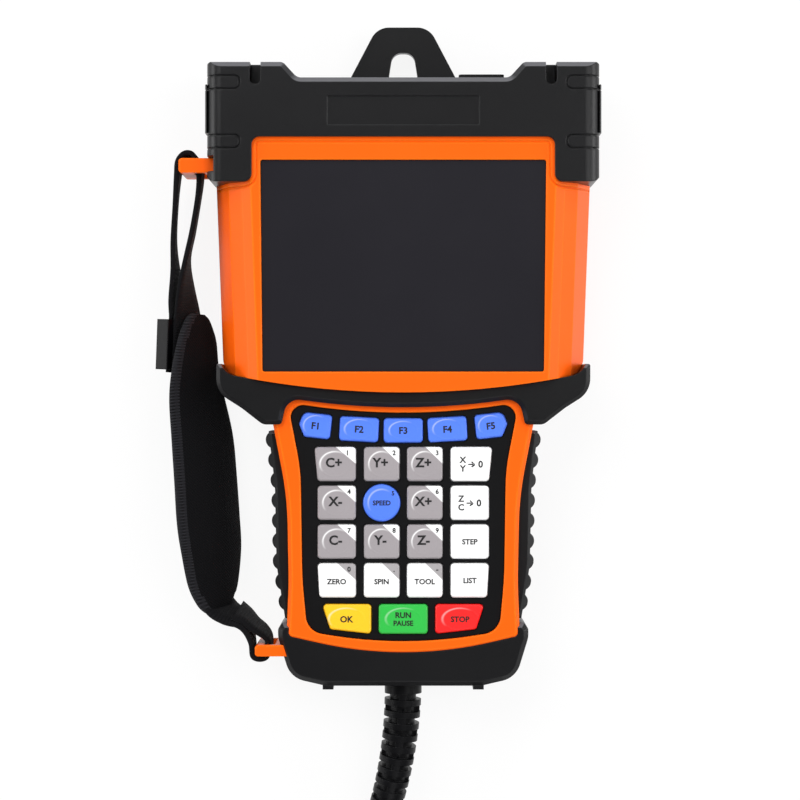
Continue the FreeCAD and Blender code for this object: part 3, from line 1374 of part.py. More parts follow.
def cable_gland():
    """Nut on the stub of the strain relief, inside the shell."""
    inside = gland_seat() + BOOT_FLANGE_THICK
    return Part.makeCylinder(BOOT_FLANGE, WALL, V(0, inside, GLAND_Z), V(0, 1, 0))


def main():
    housing, parts = shells()
    upper_lug = lug(LUG_UPPER_X, LUG_UPPER_LOW, LUG_UPPER_HIGH, LUG_BAR, -HEAD_FOOT_HALF, housing)
    lower_lug = lug(LUG_LOWER_X, LUG_LOWER_LOW, LUG_LOWER_HIGH, LUG_LOWER_BAR, -FOOT_LOW_HALF, housing)
    parts["strap_lug_upper"] = upper_lug
    parts["strap_lug_lower"] = lower_lug
    parts["shell_screws"] = shell_screws()
    parts["top_bumper"] = top_bumper(housing, lug_room(LUG_UPPER_X, LUG_UPPER_LOW, LUG_UPPER_HIGH))
    parts["waist_band"] = waist_band(housing)
    parts["right_grip"] = right_grip(housing)
    parts["left_grip"] = flipped(parts["right_grip"])
    parts["bottom_bumper"] = bottom_bumper(housing, lug_room(LUG_LOWER_X, LUG_LOWER_LOW, LUG_LOWER_HIGH))
    parts["hang_hook"] = hang_hook()
    parts["port_cover"] = port_cover()
    parts["flex_cable"] = flex_cable()
    parts["cable_gland"] = cable_gland()
    parts.update(display())
    parts.update(keypad())
    parts.update(strap())
    parts.update(cable())
    os.makedirs("parts", exist_ok=True)
    for name, shape in parts.items():
        shape.exportStep(f"parts/{name}.step")
        print(name, len(shape.Solids), shape.isValid(), round(shape.Volume))


main()
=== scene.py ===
import json
import math

import bmesh
import bpy
from mathutils import Matrix, Vector

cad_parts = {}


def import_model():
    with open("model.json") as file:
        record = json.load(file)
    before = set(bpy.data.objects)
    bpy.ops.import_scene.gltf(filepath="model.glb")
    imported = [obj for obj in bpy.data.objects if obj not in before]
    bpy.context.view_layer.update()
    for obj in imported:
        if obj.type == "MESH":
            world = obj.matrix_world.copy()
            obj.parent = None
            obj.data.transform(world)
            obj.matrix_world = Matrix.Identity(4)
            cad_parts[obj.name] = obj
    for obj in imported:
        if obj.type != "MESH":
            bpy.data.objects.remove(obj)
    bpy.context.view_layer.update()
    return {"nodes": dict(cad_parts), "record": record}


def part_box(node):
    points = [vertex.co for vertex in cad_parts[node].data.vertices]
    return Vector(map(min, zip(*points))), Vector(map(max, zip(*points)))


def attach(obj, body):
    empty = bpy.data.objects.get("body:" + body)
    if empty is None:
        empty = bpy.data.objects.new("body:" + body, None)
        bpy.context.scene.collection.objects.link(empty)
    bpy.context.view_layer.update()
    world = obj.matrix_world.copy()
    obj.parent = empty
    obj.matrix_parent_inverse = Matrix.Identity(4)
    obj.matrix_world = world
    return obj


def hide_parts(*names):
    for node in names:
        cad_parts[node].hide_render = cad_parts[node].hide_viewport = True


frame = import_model()
NODES = frame["nodes"]
SCENE = bpy.context.scene
MM = 0.001
WHITE = (1.0, 1.0, 1.0, 1.0)


# Materials

MIX_SHARE, MIX_A, MIX_B = 0, 6, 7    # inputs of the Mix node for colours
MIX_COLOUR = 2                       # its output
BEVEL_SAMPLES = 4
SHARP = 0.72                         # cosine of a bend that counts as a whole edge
FLAT = 0.998                         # cosine of a bend that counts as none


def rgb(red, green, blue):
    """Linear colour with alpha from display values of 0 to 255."""
    def linear(value):
        value /= 255
        return value / 12.92 if value <= 0.04045 else ((value + 0.055) / 1.055) ** 2.4
    return (linear(red), linear(green), linear(blue), 1.0)


def scaled(colour, factor):
    """Colour made lighter or darker."""
    return tuple(min(1.0, c * factor) for c in colour[:3]) + (1.0,)


class Look:
    """A procedural material under construction."""

    def __init__(self, name):
        self.material = bpy.data.materials.new(name)
        self.material.use_nodes = True
        self.tree = self.material.node_tree
        self.shader = self.tree.nodes["Principled BSDF"]
        coords = self.node("TexCoord")
        self.place = coords.outputs["Object"]
        self.unit = coords.outputs["Generated"]

    def node(self, kind):
        return self.tree.nodes.new("ShaderNode" + kind)

    def put(self, socket, value):
        """Link an output to a socket, or set the socket to a value."""
        if isinstance(value, bpy.types.NodeSocket):
            self.tree.links.new(value, socket)
        else:
            socket.default_value = value

    def set(self, **values):
        """Sockets of the shader, with _ for a space in their names."""
        for name, value in values.items():
            self.put(self.shader.inputs[name.replace("_", " ")], value)

    def math(self, operation, a, b=0.0):
        node = self.node("Math")
        node.operation = operation
        self.put(node.inputs[0], a)
        self.put(node.inputs[1], b)
        return node.outputs[0]

    def plus(self, a, b):
        return self.math("ADD", a, b)

    def minus(self, a, b):
        return self.math("SUBTRACT", a, b)

    def times(self, a, b):
        return self.math("MULTIPLY", a, b)

    def dot(self, a, b):
        node = self.node("VectorMath")
        node.operation = "DOT_PRODUCT"
        self.put(node.inputs[0], a)
        self.put(node.inputs[1], b)
        return node.outputs["Value"]

    def noise(self, scale, detail=2.0):
        node = self.node("TexNoise")
        self.put(node.inputs["Vector"], self.place)
        self.put(node.inputs["Scale"], scale)
        self.put(node.inputs["Detail"], detail)
        return node.outputs[0]

    def span(self, value, low, high, start=0.0, stop=1.0):
        """Value mapped from start..stop to low..high."""
        node = self.node("MapRange")
        for socket, number in zip(node.inputs, (value, start, stop, low, high)):
            self.put(socket, number)
        return node.outputs[0]

    def mix(self, share, a, b):
        node = self.node("Mix")
        node.data_type = "RGBA"
        self.put(node.inputs[MIX_SHARE], share)
        self.put(node.inputs[MIX_A], a)
        self.put(node.inputs[MIX_B], b)
        return node.outputs[MIX_COLOUR]

    def parts(self, vector):
        node = self.node("SeparateXYZ")
        self.put(node.inputs[0], vector)
        return node.outputs[0], node.outputs[1], node.outputs[2]

    def bump(self, height, depth, normal=None):
        node = self.node("Bump")
        self.put(node.inputs["Strength"], 1.0)
        self.put(node.inputs["Distance"], depth)
        self.put(node.inputs["Height"], height)
        if normal is not None:
            self.put(node.inputs["Normal"], normal)
        return node.outputs[0]

    def facing(self):
        """The way a face looks."""
        return self.node("NewGeometry").outputs["Normal"]

    def soft_edge(self, radius, sharp=SHARP):
        """Normal rounded over edges, and how strongly it bends there, 1 at the cosine called sharp."""
        bevel = self.node("Bevel")
        bevel.samples = BEVEL_SAMPLES
        self.put(bevel.inputs["Radius"], radius)
        normal = bevel.outputs[0]
        return normal, self.span(self.dot(normal, self.facing()), 1.0, 0.0, sharp, FLAT)

    def slope(self, direction, start=0.8, full=0.97):
        """How well a face looks in a direction, 0 up to the cosine called start and 1 from full."""
        return self.span(self.dot(self.facing(), direction), 0.0, 1.0, start, full)

    def uv(self, name):
        node = self.node("UVMap")
        node.uv_map = name
        return node.outputs[0]


DRIFT_SCALE = 35.0                   # slow drift of tone over the object
GRAIN_DETAIL = 3.0
ROUGH_BY_GRAIN = 0.05                # how far grain and drift move the roughness
ROUGH_BY_DRIFT = 0.03
WEAR_AND_HIGHLIGHT_LIGHTER = 2.6                   # a worn edge with painted highlight, against the plain colour
# faces that look this way take the painted highlight
HOOKWARD_UP = (0.0, 0.7071, 0.7071)


def moulded(name, colour, rough, grain=2200.0, depth=0.00003, tint=0.06, wear=0.0, edge=0.0004,
            specular=0.5, metallic=0.0, sharp=SHARP, crest=None):
    """Moulded plastic, rubber or plain metal: slight colour drift, grain, and edges a little lighter, partly
    worn and partly painted highlight.

    grain and depth are the scale and the height of the grain, tint is the share of drift, and wear is
    how far edges with the radius called edge turn lighter, partly worn and partly painted highlight.
    crest is the colour of a painted highlight on slopes that face the hook end and up.
    """
    look = Look(name)
    normal, bend = look.soft_edge(edge, sharp)
    drift = look.noise(DRIFT_SCALE, GRAIN_DETAIL)
    fine = look.noise(grain, GRAIN_DETAIL)
    tone = look.mix(drift, scaled(colour, 1 - tint), scaled(colour, 1 + tint))
    # Edges turn lighter, partly worn and partly painted highlight
    tone = look.mix(look.times(bend, wear), tone, scaled(colour, WEAR_AND_HIGHLIGHT_LIGHTER))
    # Painted highlight on slopes that face the hook end and up
    if crest is not None:
        tone = look.mix(look.slope(HOOKWARD_UP), tone, crest)
    roughness = look.plus(look.span(fine, rough - ROUGH_BY_GRAIN, rough + ROUGH_BY_GRAIN),
                          look.span(drift, -ROUGH_BY_DRIFT, ROUGH_BY_DRIFT))
    look.set(Base_Color=tone, Roughness=roughness, Metallic=metallic, Specular_IOR_Level=specular,
             Normal=look.bump(fine, depth, normal))
    return look.material


KEY_EDGE = 0.0005
KEY_GRAIN = 2600.0
KEY_DRIFT = 60.0
KEY_TONES = (0.95, 1.04)             # darkest and lightest share of a key's colour
KEY_ROUGH = (0.34, 0.46)
KEY_DEPTH = 0.00006                  # height of the arc and the grain together
ARC_HEIGHT = 0.6                     # the arc's share of it
ARC_RADIUS = 0.34                    # the arc on a key that is 1 wide and 1 high
ARC_HALF_WIDTH = 0.035
ARC_LIT = (0.05, 0.42)               # the arc's painted highlight comes in over this way towards the upper left
CORNER_CUT = (1.47, 1.5)             # the corner starts where x + y is this


def key_look(name, colour, corner=None, arc=0.0):
    """Key cap: satin face, an arc pressed into it with a painted highlight on its upper left and, on some, a
    cut corner of another colour.
    """
    look = Look(name)
    normal, _ = look.soft_edge(KEY_EDGE)
    x, y, _ = look.parts(look.unit)
    fine = look.noise(KEY_GRAIN, GRAIN_DETAIL)
    drift = look.noise(KEY_DRIFT)
    tone = look.mix(drift, scaled(colour, KEY_TONES[0]), scaled(colour, KEY_TONES[1]))
    dx = look.minus(x, 0.5)
    dy = look.minus(y, 0.5)
    radius = look.math("SQRT", look.plus(look.times(dx, dx), look.times(dy, dy)))
    beside = look.math("ABSOLUTE", look.minus(radius, ARC_RADIUS))
    ring = look.span(beside, 1.0, 0.0, 0.0, ARC_HALF_WIDTH)
    lit = look.span(look.minus(dy, dx), 0.0, 1.0, *ARC_LIT)
    # Painted highlight on the upper left of the arc
    tone = look.mix(look.times(look.times(ring, lit), arc), tone, WHITE)
    if corner is not None:
        tone = look.mix(look.span(look.plus(x, y), 0.0, 1.0, *CORNER_CUT), tone, corner)
    height = look.plus(look.times(ring, ARC_HEIGHT), look.times(fine, 1 - ARC_HEIGHT))
    look.set(Base_Color=tone, Roughness=look.span(fine, *KEY_ROUGH),
             Normal=look.bump(height, KEY_DEPTH, normal))
    return look.material


WEFT_SHARE = 0.7                     # what the weft and the crossings add to a thread's height
CROSS_SHARE = 0.5
THREAD_PEAK = WEFT_SHARE + CROSS_SHARE
FUZZ_SCALE = 5000.0
FUZZ_HEIGHT = 0.3
CLOTH_DRIFT = 60.0
CLOTH_TONES = (0.7, 1.2)             # darkest and lightest share of the ground colour
CLOTH_ROUGH = (0.75, 0.95)
CLOTH_SPECULAR = 0.08
SHEEN_ROUGH = 0.5


def woven(name, colour, across, along, depth=0.0002, slant=0.0, sheen=0.05, fleck=0.5, light=3.2):
    """Woven tape or cloth, threads laid out on the piece's own UV map in metres.

    across and along are the threads' pitches. fleck is the share by which their crowns turn lighter,
    a painted highlight, towards the colour times light.
    """
    look = Look(name)
    u, v, _ = look.parts(look.uv("cloth"))
    shear = look.plus(v, look.times(u, slant))
    weft = look.math("SINE", look.times(shear, 2 * math.pi / along))
    warp = look.math("SINE", look.times(u, 2 * math.pi / across))
    raised = look.plus(look.times(weft, WEFT_SHARE), look.times(look.times(weft, warp), CROSS_SHARE))
    thread = look.span(raised, 0.0, 1.0, -THREAD_PEAK, THREAD_PEAK)
    fuzz = look.noise(FUZZ_SCALE)
    drift = look.noise(CLOTH_DRIFT, GRAIN_DETAIL)
    dark = look.mix(drift, scaled(colour, CLOTH_TONES[0]), scaled(colour, CLOTH_TONES[1]))
    # Painted highlight on the crowns of the threads
    tone = look.mix(look.times(thread, fleck), dark, scaled(colour, light))
    height = look.plus(thread, look.times(fuzz, FUZZ_HEIGHT))
    look.set(Base_Color=tone, Roughness=look.span(fuzz, *CLOTH_ROUGH), Sheen_Weight=sheen,
             Sheen_Roughness=SHEEN_ROUGH, Specular_IOR_Level=CLOTH_SPECULAR,
             Normal=look.bump(height, depth))
    return look.material


LENS_DARK = rgb(30, 29, 34)
LENS_LIGHT = rgb(35, 34, 39)
LENS_MARKS = 18.0                    # scale of the wiping marks
LENS_MARKS_DETAIL = 4.0
LENS_ROUGH = (0.16, 0.26)
LENS_SPECULAR = 0.25
LENS_RIPPLE = 9.0
LENS_DEPTH = 0.00002


def glass_look(name):
    """Dark display lens with faint wiping marks."""
    look = Look(name)
    marks = look.noise(LENS_MARKS, LENS_MARKS_DETAIL)
    look.set(Base_Color=look.mix(marks, LENS_DARK, LENS_LIGHT), Roughness=look.span(marks, *LENS_ROUGH),
             Specular_IOR_Level=LENS_SPECULAR, Normal=look.bump(look.noise(LENS_RIPPLE), LENS_DEPTH))
    return look.material


BLACK = rgb(15, 15, 17)
KEY_WHITE = rgb(250, 250, 250)
FAINT = 0.00001                      # height of a very fine grain
METAL = {"metallic": 1.0, "depth": FAINT}
MOULDED = {
    # Lighter edges are partly worn and partly painted highlight; on the orange shell they stand for the light
    # along its facets
    "orange_shell": dict(colour=rgb(255, 97, 12), rough=0.34, tint=0.03, wear=0.35, edge=0.0011,
                         specular=0.1, sharp=0.965),
    # the extra colour on the bumper is a painted highlight on slopes towards the hook end
    "black_bumper": dict(colour=BLACK, rough=0.34, grain=3000.0, tint=0.12, wear=0.4, edge=0.0006,
                         specular=0.3, crest=rgb(92, 92, 96)),
    "black_plastic": dict(colour=BLACK, rough=0.33, grain=2600.0, tint=0.1, wear=0.4, specular=0.3),
    "buckle_gloss": dict(colour=rgb(6, 6, 8), rough=0.3, tint=0.1, wear=0.3, edge=0.0007, specular=0.12),
    "flap_rubber": dict(colour=rgb(17, 17, 18), rough=0.6, grain=3500.0, tint=0.1, wear=0.3, specular=0.2),
    "seal": dict(colour=rgb(22, 22, 22), rough=0.7, grain=4000.0, tint=0.1),
    "display_steel": dict(colour=rgb(170, 172, 175), rough=0.35, **METAL),
    "board": dict(colour=rgb(20, 92, 48), rough=0.4, grain=900.0, tint=0.15),
    "dome_steel": dict(colour=rgb(190, 190, 192), rough=0.3, **METAL),
    "flat_cable": dict(colour=rgb(176, 112, 40), rough=0.35, tint=0.1, depth=FAINT),
    "port_steel": dict(colour=rgb(178, 178, 182), rough=0.3, **METAL),
    "overlay": dict(colour=rgb(9, 9, 11), rough=0.5, grain=3200.0, depth=0.00002, tint=0.12, specular=0.15),
    "ink": dict(colour=rgb(18, 18, 20), rough=0.55, depth=FAINT, tint=0.1, edge=0.0001),
    "screw_steel": dict(colour=rgb(150, 150, 152), rough=0.35, metallic=1.0),
    "boot_rubber": dict(colour=rgb(12, 12, 14), rough=0.34, grain=3000.0, tint=0.1, wear=0.3, specular=0.15),
    "cable_jacket": dict(colour=rgb(19, 19, 21), rough=0.5, grain=1800.0, tint=0.1, edge=0.0002,
                         specular=0.25),
    "gland_nut": dict(colour=rgb(60, 60, 62), rough=0.5),
    "plug_hood": dict(colour=rgb(32, 32, 34), rough=0.48, grain=2400.0, tint=0.08, wear=0.3, specular=0.25),
    "plug_steel": dict(colour=rgb(186, 186, 188), rough=0.3, **METAL),
}
# The arc share of a key is the strength of the painted highlight on its arc
KEYS = {
    "key_blue": dict(colour=rgb(77, 124, 246), arc=0.3),
    "key_grey": dict(colour=rgb(156, 150, 153), corner=KEY_WHITE, arc=0.8),
    "key_white": dict(colour=KEY_WHITE),
    "key_white_corner": dict(colour=KEY_WHITE, corner=rgb(164, 160, 162)),
    "key_yellow": dict(colour=rgb(253, 196, 16), arc=0.35),
    "key_green": dict(colour=rgb(38, 186, 66), arc=0.25),
    "key_red": dict(colour=rgb(250, 18, 18), arc=0.3),
}
WOVEN = {
    "webbing": dict(colour=rgb(11, 11, 13), across=0.0016, along=0.0011),
    "pad_fabric": dict(colour=rgb(9, 9, 11), across=0.0011, along=0.0012, slant=0.9, sheen=0.02, fleck=0.3),
    # The binding's ribs take a strong painted highlight
    "binding": dict(colour=rgb(13, 13, 15), across=0.0024, along=0.0011, depth=0.00035, fleck=0.9, light=6.0),
    "tie": dict(colour=rgb(24, 24, 26), across=0.0008, along=0.0008, sheen=0.2),
}
LOOKS = {"lens": glass_look("lens")}
for make, table in ((moulded, MOULDED), (key_look, KEYS), (woven, WOVEN)):
    for name, values in table.items():
        LOOKS[name] = make(name, **values)

# Nodes whose finish isn't the one of their slot
OWN_LOOK = {"key_0": "key_white_corner", "key_point": "key_white_corner", "key_minus": "key_white_corner",
            "strap_buckle": "buckle_gloss"}
for part in frame["record"]["subparts"]:
    materials = NODES[part["node"]].data.materials
    materials.clear()
    materials.append(LOOKS[OWN_LOOK.get(part["node"], part["material_slot"])])


# Pieces

def piece(name, shape, body, slot, *materials):
    """New object from a mesh or curve, riding on a body and taking a slot's finish."""
    made = bpy.data.objects.new(name, shape)
    SCENE.collection.objects.link(made)
    for material in materials or (LOOKS[slot],):
        made.data.materials.append(material)
    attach(made, body)
    return made


def as_mesh(name, made):
    """Mesh from a bmesh that is finished."""
    mesh = bpy.data.meshes.new(name)
    made.to_mesh(mesh)
    made.free()
    return mesh


def between(a, b, c, d, t):
    """Value at the share t of the way from b to c, on a Catmull-Rom curve through all four."""
    return 0.5 * (2 * b + (c - a) * t + (2 * a - 5 * b + 4 * c - d) * t * t
                  + (3 * b - a - 3 * c + d) * t ** 3)


def smooth(rows, steps):
    """Rows of numbers with steps between each two."""
    made = []
    for i in range(len(rows) - 1):
        near = (rows[max(i - 1, 0)], rows[i], rows[i + 1], rows[min(i + 2, len(rows) - 1)])
        for k in range(steps):
            made.append([between(*values, k / steps) for values in zip(*near)])
    made.append(list(rows[-1]))
    return made


WIDTH = 4                            # place of the width in a station


def ring_points(row, before, after, section):
    """Points round one station of a sweep, in metres, its heading taken from the rows beside it."""
    x, y, z, twist, width, thick = row
    turn = math.radians(twist)
    along = (Vector(after[:3]) - Vector(before[:3])).normalized()
    side = Vector((-along.y, along.x, 0.0)).normalized()
    up = along.cross(side)
    across = up * math.cos(turn) + side * math.sin(turn)
    normal = along.cross(across)
    centre = Vector((x, y, z))
    return [(centre + across * (a * width / 2) + normal * (b * thick / 2)) * MM for a, b in section]


def swept(name, stations, section, steps=8, zone=None):
    """Closed mesh swept through stations (x, y, z, twist, width, thickness) in millimetres and degrees.

    section gives the outline as (across, normal) shares of half the width and half the thickness.
    Positive shares are the upper edge and the face on the right of the sweep, which is away from the
    housing where it runs down. zone tells from a face's across share and the width which material
    the face takes.
    """
    rows = smooth(stations, steps)
    made = bmesh.new()
    layer = made.loops.layers.uv.new("cloth")
    rings = []
    lengths = []
    length = 0.0
    for i, row in enumerate(rows):
        before = rows[max(i - 1, 0)]
        after = rows[min(i + 1, len(rows) - 1)]
        rings.append([made.verts.new(point) for point in ring_points(row, before, after, section)])
        length += (Vector(row[:3]) - Vector(before[:3])).length * MM
        lengths.append(length)
    count = len(section)
    for i in range(len(rings) - 1):
        width = rows[i][WIDTH]
        v0, v1 = lengths[i], lengths[i + 1]
        for k in range(count):
            n = (k + 1) % count
            face = made.faces.new((rings[i][k], rings[i][n], rings[i + 1][n], rings[i + 1][k]))
            face.smooth = True
            u0, u1 = (section[j][0] * width / 2 * MM for j in (k, n))
            for loop, point in zip(face.loops, ((u0, v0), (u1, v0), (u1, v1), (u0, v1))):
                loop[layer].uv = point
            if zone is not None:
                face.material_index = zone((section[k][0] + section[n][0]) / 2, width)
    made.faces.new(reversed(rings[0]))
    made.faces.new(rings[-1])
    bmesh.ops.recalc_face_normals(made, faces=made.faces)
    return as_mesh(name, made)


# Cable: the same route as its solids, with the turns of the coil in one line, in millimetres and degrees

AWAY = Vector((0, -1, 0))            # out of the handle's end
BOOT_START = Vector((0.0, -106.4, 16.5))
BOOT_LEAN = Vector((-0.79, 0.0, -0.61))
BOOT_BEND = 140.0
BOOT_LENGTH = 58.0
CABLE_RADIUS = 4.0
CABLE_LEAD = 15.0                    # straight run after the strain relief
FLOOR_TURN = 5.0                     # heights of the two layers of the coil
UPPER_TURN = 13.15
LANDING = [Vector((-20.2, -189.0, 5.1)), Vector((-26.8, -199.0, FLOOR_TURN))]
COIL_X = 14.0
COIL_Y = -240.0
COIL_START = 150.0
COIL_STEP = 20.0                     # angle from point to point
COIL_INNER = 31.6
FLOOR_OUTER = 56.6
FLOOR_POINTS = 54                    # three turns inwards on the floor
RISE_POINTS = 6                      # a third of a turn up to the second layer
UPPER_OUTER = 54.6
UPPER_START = COIL_START + COIL_STEP * (FLOOR_POINTS + RISE_POINTS)
UPPER_END = 2346.0
TAIL = [(186.0, UPPER_OUTER, 13.6), (208.0, 53.4, 17.4), (230.0, 50.5, 21.4), (251.0, 46.5, 24.4),
        (275.0, 42.0, 25.2)]         # angle, radius and height on the way to the plug
CABLE_FACETS = 6
CABLE_STEPS = 4


def coil_point(angle, radius, z):
    """Point on the coil at an angle from +X."""
    turn = math.radians(angle)
    return Vector((COIL_X + radius * math.cos(turn), COIL_Y + radius * math.sin(turn), z))


def boot_end():
    """Where the strain relief ends and the way that the cable leaves it."""
    turn = BOOT_LENGTH / BOOT_BEND
    end = BOOT_START + AWAY * (BOOT_BEND * math.sin(turn))
    end += BOOT_LEAN * (BOOT_BEND * (1 - math.cos(turn)))
    return end, AWAY * math.cos(turn) + BOOT_LEAN * math.sin(turn)


def cable_route():
    """Control points from the strain relief through the coil to the plug."""
    end, heading = boot_end()
    points = [end, end + heading * CABLE_LEAD] + LANDING
    angle = COIL_START
    for i in range(FLOOR_POINTS):
        radius = FLOOR_OUTER - (FLOOR_OUTER - COIL_INNER) * i / FLOOR_POINTS
        points.append(coil_point(angle, radius, FLOOR_TURN))
        angle += COIL_STEP
    for i in range(RISE_POINTS):
        rise = 0.5 - 0.5 * math.cos(math.pi * i / RISE_POINTS)
        points.append(coil_point(angle, COIL_INNER, FLOOR_TURN + (UPPER_TURN - FLOOR_TURN) * rise))
        angle += COIL_STEP
    while angle < UPPER_END - COIL_STEP / 2:
        share = (angle - UPPER_START) / (UPPER_END - UPPER_START)
        points.append(coil_point(angle, COIL_INNER + (UPPER_OUTER - COIL_INNER) * share, UPPER_TURN))
        angle += COIL_STEP
    return points + [coil_point(*place) for place in TAIL]


def cable():
    """The cable as one smooth curve."""
    route = cable_route()
    curve = bpy.data.curves.new("cable_run", "CURVE")
    curve.dimensions = "3D"
    curve.bevel_depth = CABLE_RADIUS * MM
    curve.bevel_resolution = CABLE_FACETS
    curve.use_fill_caps = True
    spline = curve.splines.new("NURBS")
    spline.points.add(len(route) - 1)
    for point, place in zip(spline.points, route):
        point.co = (*(place * MM), 1.0)
    spline.order_u = 3
    spline.use_endpoint_u = True
    spline.resolution_u = CABLE_STEPS
    made = piece("cable_run", curve, "housing", "cable_jacket")
    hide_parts("cable", "cable_coil", "cable_tail")
    return made


TIE_INNER, TIE_OUTER = 28.9, 56.5    # distances from the coil's middle
TIE_LOW, TIE_HIGH = 0.7, 17.7
TIE_ROUND = 5.0
TIE_ROUND_STEP = 15
TIE_HALF_WIDTH = 6.0
TIE_HALF_THICK = 0.45
TIE_ANGLE = 60.0                     # where on the coil it sits


def tie_path():
    """Rounded rectangle round the turns, as (distance from the coil's middle, height)."""
    right, left = TIE_OUTER - TIE_ROUND, TIE_INNER + TIE_ROUND
    top, bottom = TIE_HIGH - TIE_ROUND, TIE_LOW + TIE_ROUND
    path = []
    for r, z, first in ((right, top, 0), (left, top, 90), (left, bottom, 180), (right, bottom, 270)):
        for angle in range(first, first + 91, TIE_ROUND_STEP):
            turn = math.radians(angle)
            path.append((r + TIE_ROUND * math.cos(turn), z + TIE_ROUND * math.sin(turn)))
    return path


def tie_band():
    """Hook-and-loop band round the turns of the coil."""
    path = tie_path()
    corners = ((-TIE_HALF_WIDTH, 1), (TIE_HALF_WIDTH, 1), (TIE_HALF_WIDTH, -1), (-TIE_HALF_WIDTH, -1))
    made = bmesh.new()
    layer = made.loops.layers.uv.new("cloth")
    rings = []
    for i, (r, z) in enumerate(path):
        before = Vector(path[i - 1])
        after = Vector(path[(i + 1) % len(path)])
        tangent = (after - before).normalized()
        out = Vector((tangent.y, -tangent.x)) * TIE_HALF_THICK
        rings.append([made.verts.new((r + out.x * side, t, z + out.y * side)) for t, side in corners])
    for i, ring in enumerate(rings):
        following = rings[(i + 1) % len(rings)]
        for k in range(len(corners)):
            n = (k + 1) % len(corners)
            face = made.faces.new((ring[k], ring[n], following[n], following[k]))
            face.smooth = k in (0, 2)
            for loop in face.loops:
                x, y, z = loop.vert.co
                loop[layer].uv = (y * MM, (x + z) * MM)
    bmesh.ops.recalc_face_normals(made, faces=made.faces)
    place = Matrix.Translation((COIL_X * MM, COIL_Y * MM, 0))
    place = place @ Matrix.Rotation(math.radians(TIE_ANGLE), 4, "Z") @ Matrix.Scale(MM, 4)
    bmesh.ops.transform(made, matrix=place, verts=made.verts)
    band = piece("tie_band", as_mesh("tie_band", made), "housing", "tie")
    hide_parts("coil_tie")
    return band


band = tie_band()
cord = cable()


# Hand strap, in millimetres and degrees

WEB_SECTION = [(-1.0, -0.5), (-0.96, -1.0), (-0.5, -1.0), (0.0, -1.0), (0.5, -1.0), (0.96, -1.0), (1.0, -0.5),
               (1.0, 0.5), (0.96, 1.0), (0.5, 1.0), (0.0, 1.0), (-0.5, 1.0), (-0.96, 1.0), (-1.0, 0.5)]
MIDDLE = 19.0                        # height of the strap's middle
WEB_WIDTH = 18.5
WEB_BEHIND = 4.8                     # from the sleeve's middle to the two strands behind it
STRAND_APART = 1.35                  # from there to each strand


def at(x, y, twist, thick, width=WEB_WIDTH):
    """Station of the strap at its middle height."""
    return (x, y, MIDDLE, twist, width, thick)


def behind(x, y, twist, thick, depth, heading=1):
    """Station of the webbing behind a place of the strap, on the side away from the housing.

    heading is 1 where the tape runs down the strap and -1 where it runs up.
    """
    turn = math.radians(twist)
    return (x - depth * math.cos(turn), y, MIDDLE + depth * math.sin(turn), twist * heading, WEB_WIDTH, thick)


def strap_loop():
    """Webbing from behind the pad through the buckle, round the upper lug's bar and back."""
    outer = WEB_BEHIND + STRAND_APART
    inner = WEB_BEHIND - STRAND_APART
    stations = [
        behind(-79.0, 10.2, -30.0, 1.2, outer, heading=-1),
        behind(-78.6, 20.5, -30.0, 1.2, outer, heading=-1),
        behind(-78.6, 30.0, -26.0, 1.2, outer, heading=-1),
        behind(-81.2, 38.0, -13.0, 1.4, 4.4, heading=-1),
        at(-86.0, 49.0, 2.0, 1.6),
        at(-86.6, 60.0, -3.0, 1.8),
        at(-86.0, 73.0, -4.0, 1.8),
        at(-85.2, 84.0, -2.0, 1.8),
        at(-84.4, 89.4, 0.0, 1.8),
        at(-82.0, 92.3, 0.0, 1.8),
        at(-79.0, 92.1, 0.0, 1.8),
        at(-77.0, 88.6, 0.0, 1.8),
        at(-76.6, 84.0, 1.0, 1.8),
        at(-77.4, 76.0, 3.0, 1.8),
        at(-79.4, 64.0, 3.0, 1.8),
        at(-81.6, 53.0, 1.0, 1.7),
        behind(-80.9, 41.0, -14.0, 1.4, 1.2),
        behind(-78.6, 30.0, -27.0, 1.2, inner),
        behind(-78.6, 20.5, -30.0, 1.2, inner),
        behind(-79.0, 10.2, -30.0, 1.2, inner),
    ]
    made = piece("strap_loop", swept("strap_loop", stations, WEB_SECTION), "housing", "webbing")
    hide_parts("strap_upper_webbing")


SWELL_FRAMES = 20
SWELL_PRESSURE = 40.0
SWELL_CAP = 1.2


def swell(made, count):
    """Blow the faces of a sleeve up as sewn cloth, its ends and both edges held, and keep the result.

    count is the number of points of each ring. No point moves further than SWELL_CAP.
    """
    points = made.data.vertices
    held = made.vertex_groups.new(name="held")
    last = len(points) // count - 1
    half = count // 2
    for vertex in points:
        ring, k = divmod(vertex.index, count)
        if ring in (0, last) or k % half in (0, 1, half - 1):
            held.add([vertex.index], 1.0, "REPLACE")
    cloth = made.modifiers.new("swell", "CLOTH")
    cloth.settings.vertex_group_mass = "held"
    cloth.settings.use_pressure = True
    cloth.settings.uniform_pressure_force = SWELL_PRESSURE
    cloth.settings.effector_weights.gravity = 0.0
    cloth.collision_settings.use_collision = False
    cloth.point_cache.frame_start = 1
    cloth.point_cache.frame_end = SWELL_FRAMES
    for step in range(1, SWELL_FRAMES + 1):
        SCENE.frame_set(step)
    blown = made.evaluated_get(bpy.context.evaluated_depsgraph_get()).data
    moves = [after.co - before.co for before, after in zip(points, blown.vertices)]
    made.modifiers.remove(cloth)
    made.vertex_groups.remove(held)
    SCENE.frame_set(1)
    for vertex, move in zip(points, moves):
        vertex.co += move * min(1.0, SWELL_CAP * MM / max(move.length, 1e-9))


CROWN_POINTS = 40
CROWN_ACROSS = 0.55                  # powers below 1 make the outline blunter than an ellipse
CROWN_NORMAL = 0.6
BINDING_WIDTH = 2.4


